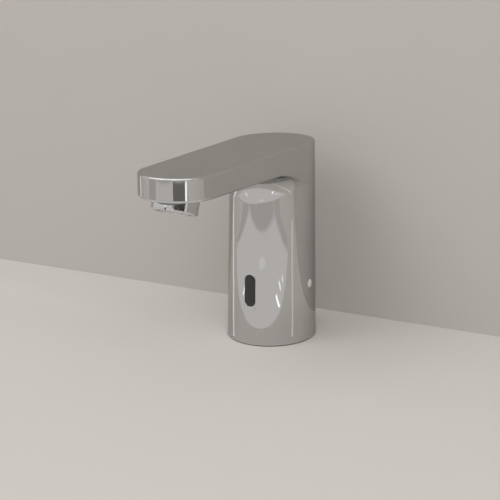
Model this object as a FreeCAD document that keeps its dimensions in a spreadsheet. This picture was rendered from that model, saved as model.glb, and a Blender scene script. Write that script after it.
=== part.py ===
"""A deck-mounted infrared basin tap: a chromed casting with a flat tapering spout, and the sensor, mixing
valve, solenoid valve, aerator and fixing pieces that it holds.

Millimetres. The origin lies on the column's axis in the plane of the deck, +Z is up and the spout points to -Y.
"""

import FreeCAD, Part
import Sketcher
import os
import re
from math import sqrt

Vector = FreeCAD.Vector
X_AXIS, Y_AXIS, Z_AXIS = Vector(1, 0, 0), Vector(0, 1, 0), Vector(0, 0, 1)

doc = FreeCAD.newDocument("sensor_tap")
sizes = doc.addObject("Spreadsheet::Sheet", "Sizes")
places = doc.addObject("Spreadsheet::Sheet", "Places")
owner = {}
nodes = []


# ---------------------------------------------------------------- the two sheets and the helpers


def write_cells(sheet, cells):
    """Add a named row to a sheet for each entry."""
    first = sum(name == sheet.Name for name in owner.values()) + 1
    for row, (alias, content) in enumerate(cells.items(), first):
        sheet.set(f"A{row}", alias)
        sheet.set(f"B{row}", content)
        sheet.setAlias(f"B{row}", alias)
        owner[alias] = sheet.Name


def worked(**formulas):
    """Places and sizes that follow from the driving ones."""
    for name, text in formulas.items():
        write_cells(places, {name: "=" + formula(text)})
    doc.recompute()


def formula(text):
    """The text as an expression, with its sheet's name in front of every alias."""

    def full_name(word):
        sheet = owner.get(word.group())
        return f"{sheet}.{word.group()}" if sheet else word.group()

    return re.sub(r"[A-Za-z_]\w*", full_name, str(text))


def number(text):
    """The present value of a formula."""
    return float(sizes.evalExpression(formula(text)))


def bind(thing, **formulas):
    """Tie properties of an object to the sheets."""
    for name, text in formulas.items():
        thing.setExpression(name, formula(text))
    return thing


def place(thing, x=0, y=0, z=0):
    """Tie an object's position to the sheets."""
    for axis, text in zip("xyz", (x, y, z)):
        thing.setExpression(f"Placement.Base.{axis}", formula(text))
    return thing


def turn(thing, axis, angle):
    """Turn an object about its own origin."""
    thing.Placement.Rotation = FreeCAD.Rotation(axis, angle)
    return thing


def add(kind, name="Piece"):
    return doc.addObject(kind, name)


def cylinder(radius, length, x=0, y=0, z=0, along=Z_AXIS):
    """A round bar that starts at the point and runs along one axis."""
    bar = bind(add("Part::Cylinder"), Radius=radius, Height=length)
    bar.Placement.Rotation = FreeCAD.Rotation(Z_AXIS, along)
    return place(bar, x, y, z)


def block(x, y, z):
    """A box between pairs of limits along X, Y and Z."""
    body = add("Part::Box")
    bind(body, Length=f"({x[1]}) - ({x[0]})", Width=f"({y[1]}) - ({y[0]})", Height=f"({z[1]}) - ({z[0]})")
    return place(body, x[0], y[0], z[0])


def hexagon(across_flats, length, x=0, y=0, z=0, along=Z_AXIS):
    """A hexagonal bar that starts at the point."""
    bar = bind(add("Part::Prism"), Circumradius=f"({across_flats}) / sqrt(3)", Height=length)
    bar.Polygon = 6
    bar.Placement.Rotation = FreeCAD.Rotation(Z_AXIS, along)
    return place(bar, x, y, z)


def ring(inner, outer, width, middle, x=0, y=0, z=0, along=Z_AXIS):
    """A square-cut sealing ring, centred at a height up its own axis."""
    low, high = f"({middle}) - ({width}) / 2", f"({middle}) + ({width}) / 2"
    return turned((inner, low), (outer, low), (outer, high), (inner, high), x=x, y=y, z=z, along=along)


def fuse(*things):
    joined = add("Part::MultiFuse")
    joined.Shapes = list(things)
    return joined


def cut(base, *tools):
    """The base without the tools."""
    left = add("Part::Cut")
    left.Base = base
    left.Tool = tools[0] if len(tools) == 1 else fuse(*tools)
    return left


def common(*things):
    shared = add("Part::MultiCommon")
    shared.Shapes = list(things)
    return shared


def group(*things):
    """Separate solids kept as one object."""
    together = add("Part::Compound")
    together.Links = list(things)
    return together


def slot(radius, straight, y, z):
    """An upright bar of stadium section along Y, between two limits and centred at a height."""
    low, high = f"({z}) - ({straight}) / 2", f"({z}) + ({straight}) / 2"
    depth = f"({y[1]}) - ({y[0]})"
    middle = block((f"-({radius})", radius), y, (low, high))
    ends = [cylinder(radius, depth, 0, y[0], level, Y_AXIS) for level in (low, high)]
    return fuse(middle, *ends)


def oval(half_width, half_depth, low, high):
    """A straight oval plate between two heights."""
    rim = place(bind(add("Part::Ellipse"), MajorRadius=half_depth, MinorRadius=half_width), 0, 0, low)
    turn(rim, Z_AXIS, 90)
    plate = add("Part::Extrusion")
    plate.Base = rim
    plate.DirMode = "Custom"
    plate.Dir = Z_AXIS
    plate.Solid = True
    return bind(plate, LengthFwd=f"({high}) - ({low})")


def tapered_oval(inset, low, high):
    """The column's own tapering oval between two heights, drawn in by the inset all round."""
    rims = []
    for level in (low, high):
        rim = add("Part::Ellipse")
        bind(rim, MajorRadius=half_depth_at(level, inset), MinorRadius=half_width_at(level, inset))
        place(rim, 0, 0, level)
        rims.append(turn(rim, Z_AXIS, 90))
    column = add("Part::Loft")
    column.Sections = rims
    column.Solid = True
    column.Ruled = True
    return column


def half_width_at(level, inset=0):
    return f"base_half_width - (base_half_width - top_half_width) * ({level}) / tap_height - ({inset})"


def half_depth_at(level, inset=0):
    return f"base_half_depth - (base_half_depth - top_half_depth) * ({level}) / tap_height - ({inset})"


def origin_part(body, role):
    """One of a body's own base planes or axes."""
    return next(part for part in body.Origin.OriginFeatures if part.Role == role)


def outline(body, role, corners):
    """A closed sketch of straight lines on one of the body's planes, each corner tied to the sheets."""
    sketch = body.newObject("Sketcher::SketchObject", "Outline")
    sketch.AttachmentSupport = (origin_part(body, role), [""])
    sketch.MapMode = "FlatFace"
    spots = [Vector(number(across), number(up), 0) for across, up in corners]
    for start, end in zip(spots, spots[1:] + spots[:1]):
        sketch.addGeometry(Part.LineSegment(start, end), False)
    for index in range(len(spots)):
        sketch.addConstraint(Sketcher.Constraint("Coincident", index, 2, (index + 1) % len(spots), 1))
    for index, (across, up) in enumerate(corners):
        for kind, text in (("DistanceX", across), ("DistanceY", up)):
            if text == 0:
                other_axis = -2 if kind == "DistanceX" else -1
                sketch.addConstraint(Sketcher.Constraint("PointOnObject", index, 1, other_axis))
                continue
            held = sketch.addConstraint(Sketcher.Constraint(kind, -1, 1, index, 1, number(text)))
            sketch.setExpression(f"Constraints[{held}]", formula(text))
    return sketch


def turned(*corners, x=0, y=0, z=0, along=Z_AXIS):
    """A lathe-turned body: corners are (radius, height) up its own axis, which runs along the given one."""
    body = add("PartDesign::Body")
    sketch = outline(body, "XZ_Plane", corners)
    spin = body.newObject("PartDesign::Revolution", "Turned")
    spin.Profile = sketch
    spin.ReferenceAxis = (sketch, ["V_Axis"])
    spin.Angle = 360
    body.Placement.Rotation = FreeCAD.Rotation(Z_AXIS, along)
    return place(body, x, y, z)


def around(count, thing_at):
    """Things made by a function of the angle, evenly spaced round a circle."""
    return [thing_at(f"{index} * 360 / {count}") for index in range(count)]


def coil_spring(middle_radius, wire_radius, turns, low, high, x, y):
    """A square-wire spring between two heights, its end coils just inside them."""
    path = add("Part::Helix")
    bind(path, Radius=middle_radius, Height=f"({high}) - ({low}) - 2 * ({wire_radius})")
    bind(path, Pitch=f"(({high}) - ({low}) - 2 * ({wire_radius})) / ({turns})")
    section = bind(add("Part::RegularPolygon"), Circumradius=wire_radius)
    section.Polygon = 4
    section.Placement.Rotation = FreeCAD.Rotation(X_AXIS, 90)
    section.setExpression("Placement.Base.x", formula(middle_radius))
    wire = add("Part::Sweep")
    wire.Sections = [section]
    wire.Spine = (path, ["Edge1"])
    wire.Solid = True
    wire.Frenet = True
    return place(group(wire), x, y, f"({low}) + ({wire_radius})")


def node(name, thing):
    """Name a finished piece of the tap."""
    thing.Label = name
    nodes.append(thing)
    return thing


# ---------------------------------------------------------------- driving sizes

SIZES = {
    # The column: an oval that narrows a little to its flat top.
    "tap_height": 111.8,
    "base_half_width": 25.0,
    "base_half_depth": 27.3,
    "top_half_width": 22.7,
    "top_half_depth": 26.5,
    # The spout: a flat bar with straight sides tangent to the column and a round tip, a little thinner there.
    "spout_reach": 100.9,
    "tip_radius": 19.65,
    "tip_thickness": 12.3,
    "root_thickness": 13.6,
    "top_edge_radius": 1.0,
    "under_edge_radius": 1.3,
    "root_blend_radius": 6.0,
    "side_draw_in": 0.05,
    # The casting's inside.
    "casting_wall": 2.6,
    "cavity_height": 94.0,
    "waterway_radius": 3.2,
    "waterway_height": 105.7,
    # Clearances: sliding and screwed pieces, running fits, and pieces that drop into place.
    "screw_clearance": 0.05,
    "running_clearance": 0.08,
    "loose_clearance": 0.15,
    # The foot: a flat gasket, and the plate that closes the casting and carries everything inside.
    "gasket_thickness": 0.5,
    "gasket_inset": 0.4,
    "base_plate_top": 9.0,
    "port_spacing": 17.0,
    "inner_axis_y": -1.0,
    "port_radius": 4.6,
    "port_length": 6.0,
    "port_top_radius": 4.0,
    "stud_y": -13.0,
    "stud_radius": 4.0,
    "stud_length": 59.3,
    "stud_engagement": 6.8,
    "stud_chamfer": 0.8,
    "lug_inset": 9.5,
    "lug_y": -11.0,
    "lug_radius": 5.0,
    "lug_height": 10.0,
    "base_screw_radius": 1.6,
    "base_screw_length": 16.0,
    "base_screw_head_radius": 2.9,
    "base_screw_head_height": 2.4,
    "grommet_y": 13.0,
    "grommet_radius": 4.0,
    "grommet_bore_radius": 2.4,
    "grommet_rim_radius": 5.2,
    "grommet_rim": 1.2,
    # The clamp under the deck.
    "deck_thickness": 30.0,
    "clamp_radius": 24.5,
    "clamp_pad_thickness": 3.0,
    "clamp_plate_thickness": 2.5,
    "clamp_slot_half_width": 15.8,
    "clamp_slot_y": -7.6,
    "nut_across_flats": 13.0,
    "nut_height": 6.5,
    # The side adjuster and the mixing valve behind it.
    "adjuster_height": 32.5,
    "cap_radius": 2.42,
    "cap_head": 1.2,
    "cap_crown": 0.25,
    "cap_stem_radius": 1.85,
    "cap_stem": 2.4,
    "barrel_radius": 9.0,
    "barrel_half_length": 17.0,
    "barrel_bore": 6.0,
    "barrel_end_wall": 3.5,
    "leg_radius": 6.5,
    "check_pocket_radius": 5.0,
    "check_pocket_top": 22.0,
    "leg_bore": 3.2,
    "neck_top": 44.0,
    "neck_radius": 6.5,
    "neck_socket_radius": 4.4,
    "neck_socket_depth": 4.5,
    "ear_y": 8.6,
    "ear_radius": 3.9,
    "ear_height": 4.0,
    "ear_screw_radius": 1.5,
    "ear_screw_length": 8.0,
    "ear_screw_head_radius": 2.7,
    "ear_screw_head": 1.8,
    "spindle_land": 0.45,
    "spindle_bore": 2.4,
    "spindle_neck_radius": 3.0,
    "spindle_end_gap": 2.2,
    "spindle_port_radius": 2.2,
    "spindle_key": 3.0,
    "spindle_key_depth": 3.0,
    "spindle_ring_width": 1.2,
    "spindle_ring_depth": 0.6,
    "gland_flange": 2.0,
    "gland_across_flats": 14.0,
    # The check valve in each leg, and the strainer below it.
    "check_length": 12.3,
    "check_bore": 3.7,
    "check_seat_radius": 2.6,
    "check_seat_length": 2.0,
    "check_guide": 1.8,
    "check_travel": 1.8,
    "poppet_radius": 3.2,
    "poppet_thickness": 1.5,
    "poppet_stem_radius": 1.0,
    "check_hole": 1.5,
    "check_hole_circle": 2.6,
    "check_wire": 0.3,
    "check_turns": 4,
    "strainer_thickness": 0.8,
    "strainer_hole": 1.5,
    "strainer_hole_circle": 2.3,
    # The servo valve on top of the mixing valve.
    "valve_radius": 15.0,
    "valve_height": 18.0,
    "spigot_radius": 4.3,
    "spigot_length": 4.0,
    "spigot_bore": 2.5,
    "gallery_radius": 1.6,
    "gallery_rise": 2.0,
    "gallery_reach": 7.8,
    "outlet_rise": 7.0,
    "outlet_radius": 2.6,
    "seat_radius": 5.6,
    "seat_bore": 3.6,
    "seat_rise": 13.5,
    "ring_channel_radius": 9.8,
    "ring_channel_floor": 9.0,
    "chamber_radius": 10.6,
    "riser_y": 16.0,
    "riser_lug_radius": 6.2,
    "riser_lug_rise": 2.0,
    "piston_thickness": 2.6,
    "piston_hub_radius": 5.0,
    "piston_hub": 1.4,
    "bleed_radius": 0.5,
    "washer_thickness": 1.0,
    "washer_radius": 5.8,
    "lip_width": 1.1,
    "lip_height": 1.2,
    "cover_thickness": 6.0,
    "cover_recess_radius": 8.0,
    "cover_recess": 1.6,
    "pilot_radius": 0.8,
    "tube_socket_depth": 2.0,
    "cover_screw_circle": 12.75,
    "cover_screw_radius": 1.2,
    "cover_screw_length": 14.0,
    "cover_screw_head": 1.1,
    "cover_screw_head_radius": 2.1,
    # The solenoid.
    "core_radius": 5.0,
    "core_wall": 0.5,
    "core_height": 22.0,
    "core_flange_radius": 6.5,
    "core_flange": 1.2,
    "core_plug": 5.0,
    "core_stub_radius": 3.0,
    "core_stub": 3.2,
    "plunger_length": 14.2,
    "plunger_tip_radius": 1.5,
    "plunger_tip": 1.0,
    "plunger_pocket_radius": 2.3,
    "plunger_pocket": 6.5,
    "plunger_wire": 0.3,
    "plunger_turns": 5,
    "coil_radius": 11.0,
    "yoke_sheet": 1.2,
    "yoke_half_width": 6.5,
    "coil_nut_across": 9.0,
    "coil_nut_height": 2.8,
    # The tube from the servo valve up into the spout's waterway.
    "riser_radius": 4.1,
    "riser_bore": 2.6,
    "riser_socket_radius": 4.3,
    "riser_socket_depth": 7.0,
    "riser_ring_width": 1.0,
    "riser_ring_depth": 0.7,
    # The aerator under the tip, its outlet tilted forward, away from the column.
    "aerator_tilt": 20.0,
    "aerator_ahead": 1.6,
    "aerator_radius": 11.75,
    "aerator_drop": 8.3,
    "aerator_grip": 5.6,
    "aerator_bore": 10.0,
    "aerator_lip": 0.8,
    "aerator_rim_round": 0.8,
    "aerator_lip_bore": 9.0,
    "aerator_ring_thickness": 1.0,
    "aerator_ring_bore": 8.6,
    "plenum_radius": 8.4,
    "plenum_depth": 1.2,
    "wrench_slot_width": 4.4,
    "wrench_slot_turn": 18,
    "wrench_slot_depth": 1.4,
    "insert_hole": 1.9,
    "insert_hole_pitch": 2.35,
    "insert_skirt": 1.0,
    "insert_web": 1.6,
    "flow_disc_thickness": 1.2,
    "flow_hole": 2.2,
    "flow_hole_circle": 6.2,
    # The sensor in the foot of the column.
    "sensor_height": 31.6,
    "lens_radius": 3.2,
    "lens_straight": 11.6,
    "lens_recess": 0.35,
    "lens_flange_rim": 1.4,
    "lens_flange": 1.2,
    "window_clearance": 0.1,
    "window_wall": 2.17,
    "lens_seal_thickness": 0.4,
    "case_half_width": 6.0,
    "case_half_height": 12.0,
    "pad_thickness": 1.15,
    "case_wall": 1.2,
    "board_thickness": 1.2,
    "diode_spacing": 10.0,
    "diode_radius": 1.5,
    "diode_length": 4.0,
}

write_cells(sizes, {name: str(value) for name, value in SIZES.items()})
doc.recompute()

# ---------------------------------------------------------------- places that several pieces share

worked(port_x="port_spacing / 2", casting_foot="gasket_thickness", lug_x="base_half_width - lug_inset")
worked(pocket_y=f"window_wall - ({half_depth_at('sensor_height')})")
worked(tip_under="tap_height - tip_thickness", root_under="tap_height - root_thickness")
worked(stud_radius_hole="stud_radius + screw_clearance", stud_top="gasket_thickness + stud_engagement")
worked(valve_foot="neck_top", valve_top="neck_top + valve_height", seat_top="neck_top + seat_rise")
worked(cover_top="valve_top + cover_thickness", tube_foot="cover_top - tube_socket_depth")
worked(core_top="tube_foot + core_height", stop_face="core_top - core_plug")
worked(check_foot="base_plate_top + loose_clearance", check_top="check_foot + check_length")
worked(poppet_foot="check_foot + check_seat_length", guide_foot="check_top - check_guide")
worked(plunger_foot="tube_foot", plunger_top="plunger_foot + plunger_tip + plunger_length")
worked(cap_seat="base_half_width - (base_half_width - top_half_width) * adjuster_height / tap_height - cap_head")
worked(riser_foot="valve_top - riser_socket_depth + loose_clearance")
worked(riser_top="cavity_height + riser_socket_depth - loose_clearance")
worked(clamp_top="-deck_thickness", plate_top="-deck_thickness - clamp_pad_thickness")
worked(nut_top="plate_top - clamp_plate_thickness")
worked(flange_front="pocket_y + lens_seal_thickness", case_front="flange_front + lens_flange")
worked(case_back="inner_axis_y - barrel_radius - screw_clearance - pad_thickness")
worked(board_back="case_back - case_wall - screw_clearance")
worked(board_front="board_back - board_thickness")


# ---------------------------------------------------------------- the casting


def section_half_sizes(level, inset):
    """The column's half width and half depth at a height."""
    return number(half_width_at(level, inset)), number(half_depth_at(level, inset))


def spout_outline(level):
    """The spout's plan at a height: lines tangent to the column's oval, just inside it, and to the tip's circle."""
    half_width, half_depth = section_half_sizes(level, "side_draw_in")
    reach, tip = number("spout_reach"), number("tip_radius")
    square = reach**2 + half_width**2 - half_depth**2
    lean = (sqrt((reach * tip) ** 2 - square * (tip**2 - half_width**2)) - reach * tip) / square
    upright = sqrt(1 - lean**2)
    support = sqrt((half_width * upright) ** 2 + (half_depth * lean) ** 2)
    root = Vector(half_width**2 * upright / support, -(half_depth**2) * lean / support, level)
    shoulder = Vector(tip * upright, -reach - tip * lean, level)
    far_root, far_shoulder = Vector(-root.x, root.y, level), Vector(-shoulder.x, shoulder.y, level)
    nose = Vector(0, -reach - tip, level)
    edges = [
        Part.LineSegment(root, shoulder),
        Part.Arc(shoulder, nose, far_shoulder),
        Part.LineSegment(far_shoulder, far_root),
        Part.LineSegment(far_root, root),
    ]
    return Part.Wire([edge.toShape() for edge in edges])


def column_form(low, high):
    """The tapering oval column between two heights."""
    rims = []
    for level in (low, high):
        half_width, half_depth = section_half_sizes(level, 0)
        rim = Part.Ellipse(Vector(0, half_depth, level), Vector(half_width, 0, level), Vector(0, 0, level))
        rims.append(Part.Wire([rim.toShape()]))
    return Part.makeLoft(rims, True, True)


def edges_between(shape, low, high):
    """The edges of a shape that lie wholly between two corners of a box."""
    found = []
    for edge in shape.Edges:
        box = edge.BoundBox
        if box.XMin > low.x and box.YMin > low.y and box.ZMin > low.z:
            if box.XMax < high.x and box.YMax < high.y and box.ZMax < high.z:
                found.append(edge)
    return found


def casting_outside():
    """Column and spout in one, with a hollow blend where the spout's underside meets the column."""
    top, root_under, tip_under = number("tap_height"), number("root_under"), number("tip_under")
    blend, reach = number("root_blend_radius"), number("spout_reach")
    half_width, half_depth = section_half_sizes(0, 0)
    wide, back = half_width + 2 * blend, half_depth + 2 * blend
    front = -reach - number("tip_radius") - blend
    slope = (root_under - tip_under) / reach
    column = column_form(number("casting_foot"), top)

    # A wide plate is blended to the column all the way round, and then trimmed to the spout's plan.
    side = [(back, top), (front, top), (front, root_under + slope * front), (back, root_under + slope * back)]
    corners = [Vector(-wide, y, z) for y, z in side]
    plate = Part.Face(Part.makePolygon(corners + corners[:1])).extrude(Vector(2 * wide, 0, 0))
    blended = column.fuse(plate)
    low, high = root_under - abs(slope) * back - 0.1, root_under + abs(slope) * back + 0.1
    joint = edges_between(blended, Vector(-wide, 1 - back, low), Vector(wide, back - 1, high))
    blended = blended.makeFillet(blend, joint)
    trim_foot = min(root_under, tip_under) - blend - 2
    trim = Part.makeLoft([spout_outline(trim_foot), spout_outline(top)], True, True)
    spout = blended.common(trim)

    # The spout's lower edge is rounded along its sides, round its tip and up the blend.
    near = -half_depth - blend - 1
    lower = edges_between(spout, Vector(-wide, front, root_under - 1), Vector(wide, 0, tip_under + 1))
    lower = [edge for edge in lower if edge.BoundBox.YMin < near]
    spout = spout.makeFillet(number("under_edge_radius"), lower)

    # The top's edge is rounded once the two are one. Edges inside the top, between the two, stay out of it.
    whole = column.fuse(spout)
    rim = edges_between(whole, Vector(-wide, front, top - 0.01), Vector(wide, back, top + 0.01))
    outer = []
    for edge in rim:
        box = edge.BoundBox
        crosses = abs(box.XMin + box.XMax) < 0.01
        if not (crosses and box.YMin > -half_depth and box.YMax < 0):
            outer.append(edge)
    return whole.makeFillet(number("top_edge_radius"), outer)


def aerator_place(thing):
    """Put a piece on the aerator's axis, which crosses the spout's underside ahead of the tip's centre."""
    thing.Placement.Rotation = FreeCAD.Rotation(X_AXIS, 1)
    bind(thing, **{"Placement.Rotation.Angle": "-aerator_tilt"})
    bind(thing, **{"Placement.Base.y": "-spout_reach - aerator_ahead", "Placement.Base.z": "tip_under"})
    return thing


def casting():
    outside = add("Part::Feature", "CastingOutside")
    outside.Shape = casting_outside()
    lug_top = "base_plate_top + lug_height"
    lugs = [cylinder("lug_radius", "lug_height", x, "lug_y", "base_plate_top") for x in ("lug_x", "-lug_x")]
    hollow = tapered_oval("casting_wall", "-casting_wall", "cavity_height")
    lug_bars = common(fuse(*lugs), tapered_oval("casting_wall / 2", "casting_foot", lug_top + " + 1"))
    pilot = "base_screw_length - base_plate_top + base_screw_head_height + 1"
    pilots = [
        cylinder("base_screw_radius + screw_clearance", pilot, x, "lug_y", "base_plate_top - 0.5")
        for x in ("lug_x", "-lug_x")
    ]
    riser = cylinder("riser_socket_radius", "riser_socket_depth + 1", 0, "riser_y", "cavity_height - 1")
    climb = cylinder("waterway_radius", "waterway_height - cavity_height", 0, "riser_y", "cavity_height")
    run = "spout_reach + riser_y + waterway_radius"
    waterway = cylinder("waterway_radius", run, 0, "-spout_reach", "waterway_height", Y_AXIS)
    socket = turned(
        (0, "-aerator_radius"),
        ("aerator_radius + loose_clearance", "-aerator_radius"),
        ("aerator_radius + loose_clearance", "aerator_grip + aerator_ring_thickness"),
        ("plenum_radius", "aerator_grip + aerator_ring_thickness"),
        ("plenum_radius", "aerator_grip + aerator_ring_thickness + plenum_depth"),
        (0, "aerator_grip + aerator_ring_thickness + plenum_depth"),
    )
    aerator_place(socket)
    window = slot("lens_radius + window_clearance", "lens_straight", ("-base_half_depth - 1", "pocket_y + casting_wall"), "sensor_height")
    pocket_radius = "lens_radius + lens_flange_rim + window_clearance"
    pocket = slot(pocket_radius, "lens_straight", ("pocket_y", "pocket_y + casting_wall"), "sensor_height")
    cap_way = cylinder("cap_stem_radius + loose_clearance", 9, "cap_seat - 6", "inner_axis_y", "adjuster_height", X_AXIS)
    cap_rest = cylinder("cap_radius + running_clearance", 4, "cap_seat", "inner_axis_y", "adjuster_height", X_AXIS)
    shell = cut(outside, hollow)
    return cut(fuse(shell, lug_bars), riser, climb, waterway, socket, window, pocket, cap_way, cap_rest, *pilots)


node("tap_body", casting())
for thing in doc.Objects:
    if hasattr(thing, "Refine"):
        thing.Refine = False  # merging the casting's faces would break its blend


# ---------------------------------------------------------------- the foot


def both_sides(make, x):
    return [make(x), make(f"-({x})")]


def base_gasket():
    sheet = oval("base_half_width - gasket_inset", "base_half_depth - gasket_inset", 0, "gasket_thickness")
    holes = both_sides(lambda x: cylinder("leg_radius", 2, x, "inner_axis_y", -1), "port_x")
    holes += both_sides(lambda x: cylinder("base_screw_head_radius + 0.5", 2, x, "lug_y", -1), "lug_x")
    stud_hole = cylinder("stud_radius + loose_clearance", 2, 0, "stud_y", -1)
    cable_hole = cylinder("grommet_radius", 2, 0, "grommet_y", -1)
    return cut(sheet, *holes, stud_hole, cable_hole)


def base_plate():
    gap = "casting_wall + screw_clearance"
    sheet = oval(
        half_width_at("base_plate_top", gap), half_depth_at("base_plate_top", gap), "gasket_thickness", "base_plate_top"
    )
    port_foot = "gasket_thickness - 1"
    ports = both_sides(lambda x: cylinder("port_radius", "port_length + 1", x, "inner_axis_y", port_foot), "port_x")
    ways = both_sides(lambda x: cylinder("port_top_radius", "base_plate_top + 1", x, "inner_axis_y", 0), "port_x")
    stud_hole = cylinder("stud_radius_hole", "stud_engagement + 1 + loose_clearance", 0, "stud_y", port_foot)
    screw = "base_screw_radius + screw_clearance"
    screws = both_sides(lambda x: cylinder(screw, "base_plate_top + 2", x, "lug_y", -1), "lug_x")
    sink = "base_screw_head_radius + loose_clearance"
    sinks = both_sides(lambda x: cylinder(sink, "base_screw_head_height + 1", x, "lug_y", port_foot), "lug_x")
    taps = both_sides(
        lambda x: cylinder(
            "ear_screw_radius + screw_clearance", "ear_screw_length", x, "ear_y", "base_plate_top - ear_screw_length + ear_height"
        ),
        "port_x",
    )
    cable_hole = cylinder("grommet_radius + screw_clearance", "base_plate_top + 2", 0, "grommet_y", -1)
    return cut(sheet, *ports, *ways, stud_hole, *screws, *sinks, *taps, cable_hole)


def base_screw(x):
    head = ("base_screw_head_radius", "base_screw_head_height")
    return turned(
        (0, 0), (head[0], 0), head, ("base_screw_radius", head[1]),
        ("base_screw_radius", "base_screw_length"), (0, "base_screw_length"),
        x=x, y="lug_y", z="gasket_thickness",
    )  # fmt: skip


def ear_screw(x):
    top = "base_plate_top + ear_height"
    return turned(
        (0, "-ear_screw_length + 0.5"), ("ear_screw_radius", "-ear_screw_length + 0.5"), ("ear_screw_radius", 0),
        ("ear_screw_head_radius", 0), ("ear_screw_head_radius", "ear_screw_head"), (0, "ear_screw_head"),
        x=x, y="ear_y", z=top,
    )  # fmt: skip


def cable_grommet():
    top = "base_plate_top"
    return turned(
        ("grommet_bore_radius", "gasket_thickness"), ("grommet_radius", "gasket_thickness"), ("grommet_radius", top),
        ("grommet_rim_radius", top), ("grommet_rim_radius", f"{top} + grommet_rim"),
        ("grommet_bore_radius", f"{top} + grommet_rim"), y="grommet_y",
    )  # fmt: skip


node("base_gasket", base_gasket())
node("base_plate", base_plate())
node("base_screws", group(*both_sides(base_screw, "lug_x")))
node("cable_grommet", cable_grommet())


# ---------------------------------------------------------------- the fixing under the deck


def clamp_sheet(top, thickness):
    """A horseshoe: a disc with a wide way for the hoses at its back and a hole for the stud."""
    disc = cylinder("clamp_radius", thickness, 0, 0, f"({top}) - ({thickness})")
    corner = "clamp_slot_half_width / 3"
    low, high = f"({top}) - ({thickness}) - 1", f"({top}) + 1"
    tall = f"({high}) - ({low})"
    mouth = ("-clamp_slot_half_width", "clamp_slot_half_width")
    way = block(mouth, (f"clamp_slot_y + {corner}", "clamp_radius + 1"), (low, high))
    floor = block((f"-clamp_slot_half_width + {corner}", f"clamp_slot_half_width - {corner}"),
                  ("clamp_slot_y", f"clamp_slot_y + {corner} + 1"), (low, high))  # fmt: skip
    rounds = both_sides(
        lambda x: cylinder(corner, tall, x, f"clamp_slot_y + {corner}", low), f"clamp_slot_half_width - {corner}"
    )
    stud_hole = cylinder("stud_radius + 0.4", tall, 0, "stud_y", low)
    return cut(disc, way, floor, *rounds, stud_hole)


def fixing_stud():
    return turned(
        (0, "stud_top - stud_length"), ("stud_radius - stud_chamfer", "stud_top - stud_length"),
        ("stud_radius", "stud_top - stud_length + stud_chamfer"), ("stud_radius", "stud_top - stud_chamfer"),
        ("stud_radius - stud_chamfer", "stud_top"), (0, "stud_top"), y="stud_y",
    )  # fmt: skip


def clamp_nut():
    blank = hexagon("nut_across_flats", "nut_height", 0, "stud_y", "nut_top - nut_height")
    bevel = turned(
        (0, 0), ("nut_across_flats / 2", 0), ("nut_across_flats / sqrt(3)", "nut_across_flats / 12"),
        ("nut_across_flats / sqrt(3)", "nut_height"), (0, "nut_height"), y="stud_y", z="nut_top - nut_height",
    )  # fmt: skip
    hole = cylinder("stud_radius_hole", "nut_height + 2", 0, "stud_y", "nut_top - nut_height - 1")
    return cut(common(blank, bevel), hole)


node("fixing_stud", fixing_stud())
node("clamp_pad", clamp_sheet("clamp_top", "clamp_pad_thickness"))
node("clamp_plate", clamp_sheet("plate_top", "clamp_plate_thickness"))
node("clamp_nut", clamp_nut())


# ---------------------------------------------------------------- the mixing valve


def mixer_housing():
    """A cross barrel on two legs, with a neck up to the servo valve: hot comes up one leg, cold the other."""
    leg_height = "adjuster_height - base_plate_top"
    legs = both_sides(lambda x: cylinder("leg_radius", leg_height, x, "inner_axis_y", "base_plate_top"), "port_x")
    ears = both_sides(lambda x: cylinder("ear_radius", "ear_height", x, "ear_y", "base_plate_top"), "port_x")
    length = "2 * barrel_half_length"
    barrel = cylinder("barrel_radius", length, "-barrel_half_length", "inner_axis_y", "adjuster_height", X_AXIS)
    neck = cylinder("neck_radius", "neck_top - adjuster_height", 0, "inner_axis_y", "adjuster_height")
    pocket_height = "check_pocket_top - base_plate_top + 1"
    pockets = both_sides(
        lambda x: cylinder("check_pocket_radius", pocket_height, x, "inner_axis_y", "base_plate_top - 1"), "port_x"
    )
    ways = both_sides(lambda x: cylinder("leg_bore", leg_height, x, "inner_axis_y", "base_plate_top"), "port_x")
    bore_start = "-barrel_half_length + barrel_end_wall"
    bore = cylinder("barrel_bore", length, bore_start, "inner_axis_y", "adjuster_height", X_AXIS)
    outlet = cylinder("leg_bore", "neck_top - adjuster_height", 0, "inner_axis_y", "adjuster_height")
    socket_foot = "neck_top - neck_socket_depth"
    socket = cylinder("neck_socket_radius", "neck_socket_depth + 1", 0, "inner_axis_y", socket_foot)
    screw_ways = both_sides(
        lambda x: cylinder("ear_screw_radius + screw_clearance", "ear_height + 2", x, "ear_y", "base_plate_top - 1"),
        "port_x",
    )
    return cut(fuse(*legs, *ears, barrel, neck), *pockets, *ways, bore, outlet, socket, *screw_ways)


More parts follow.
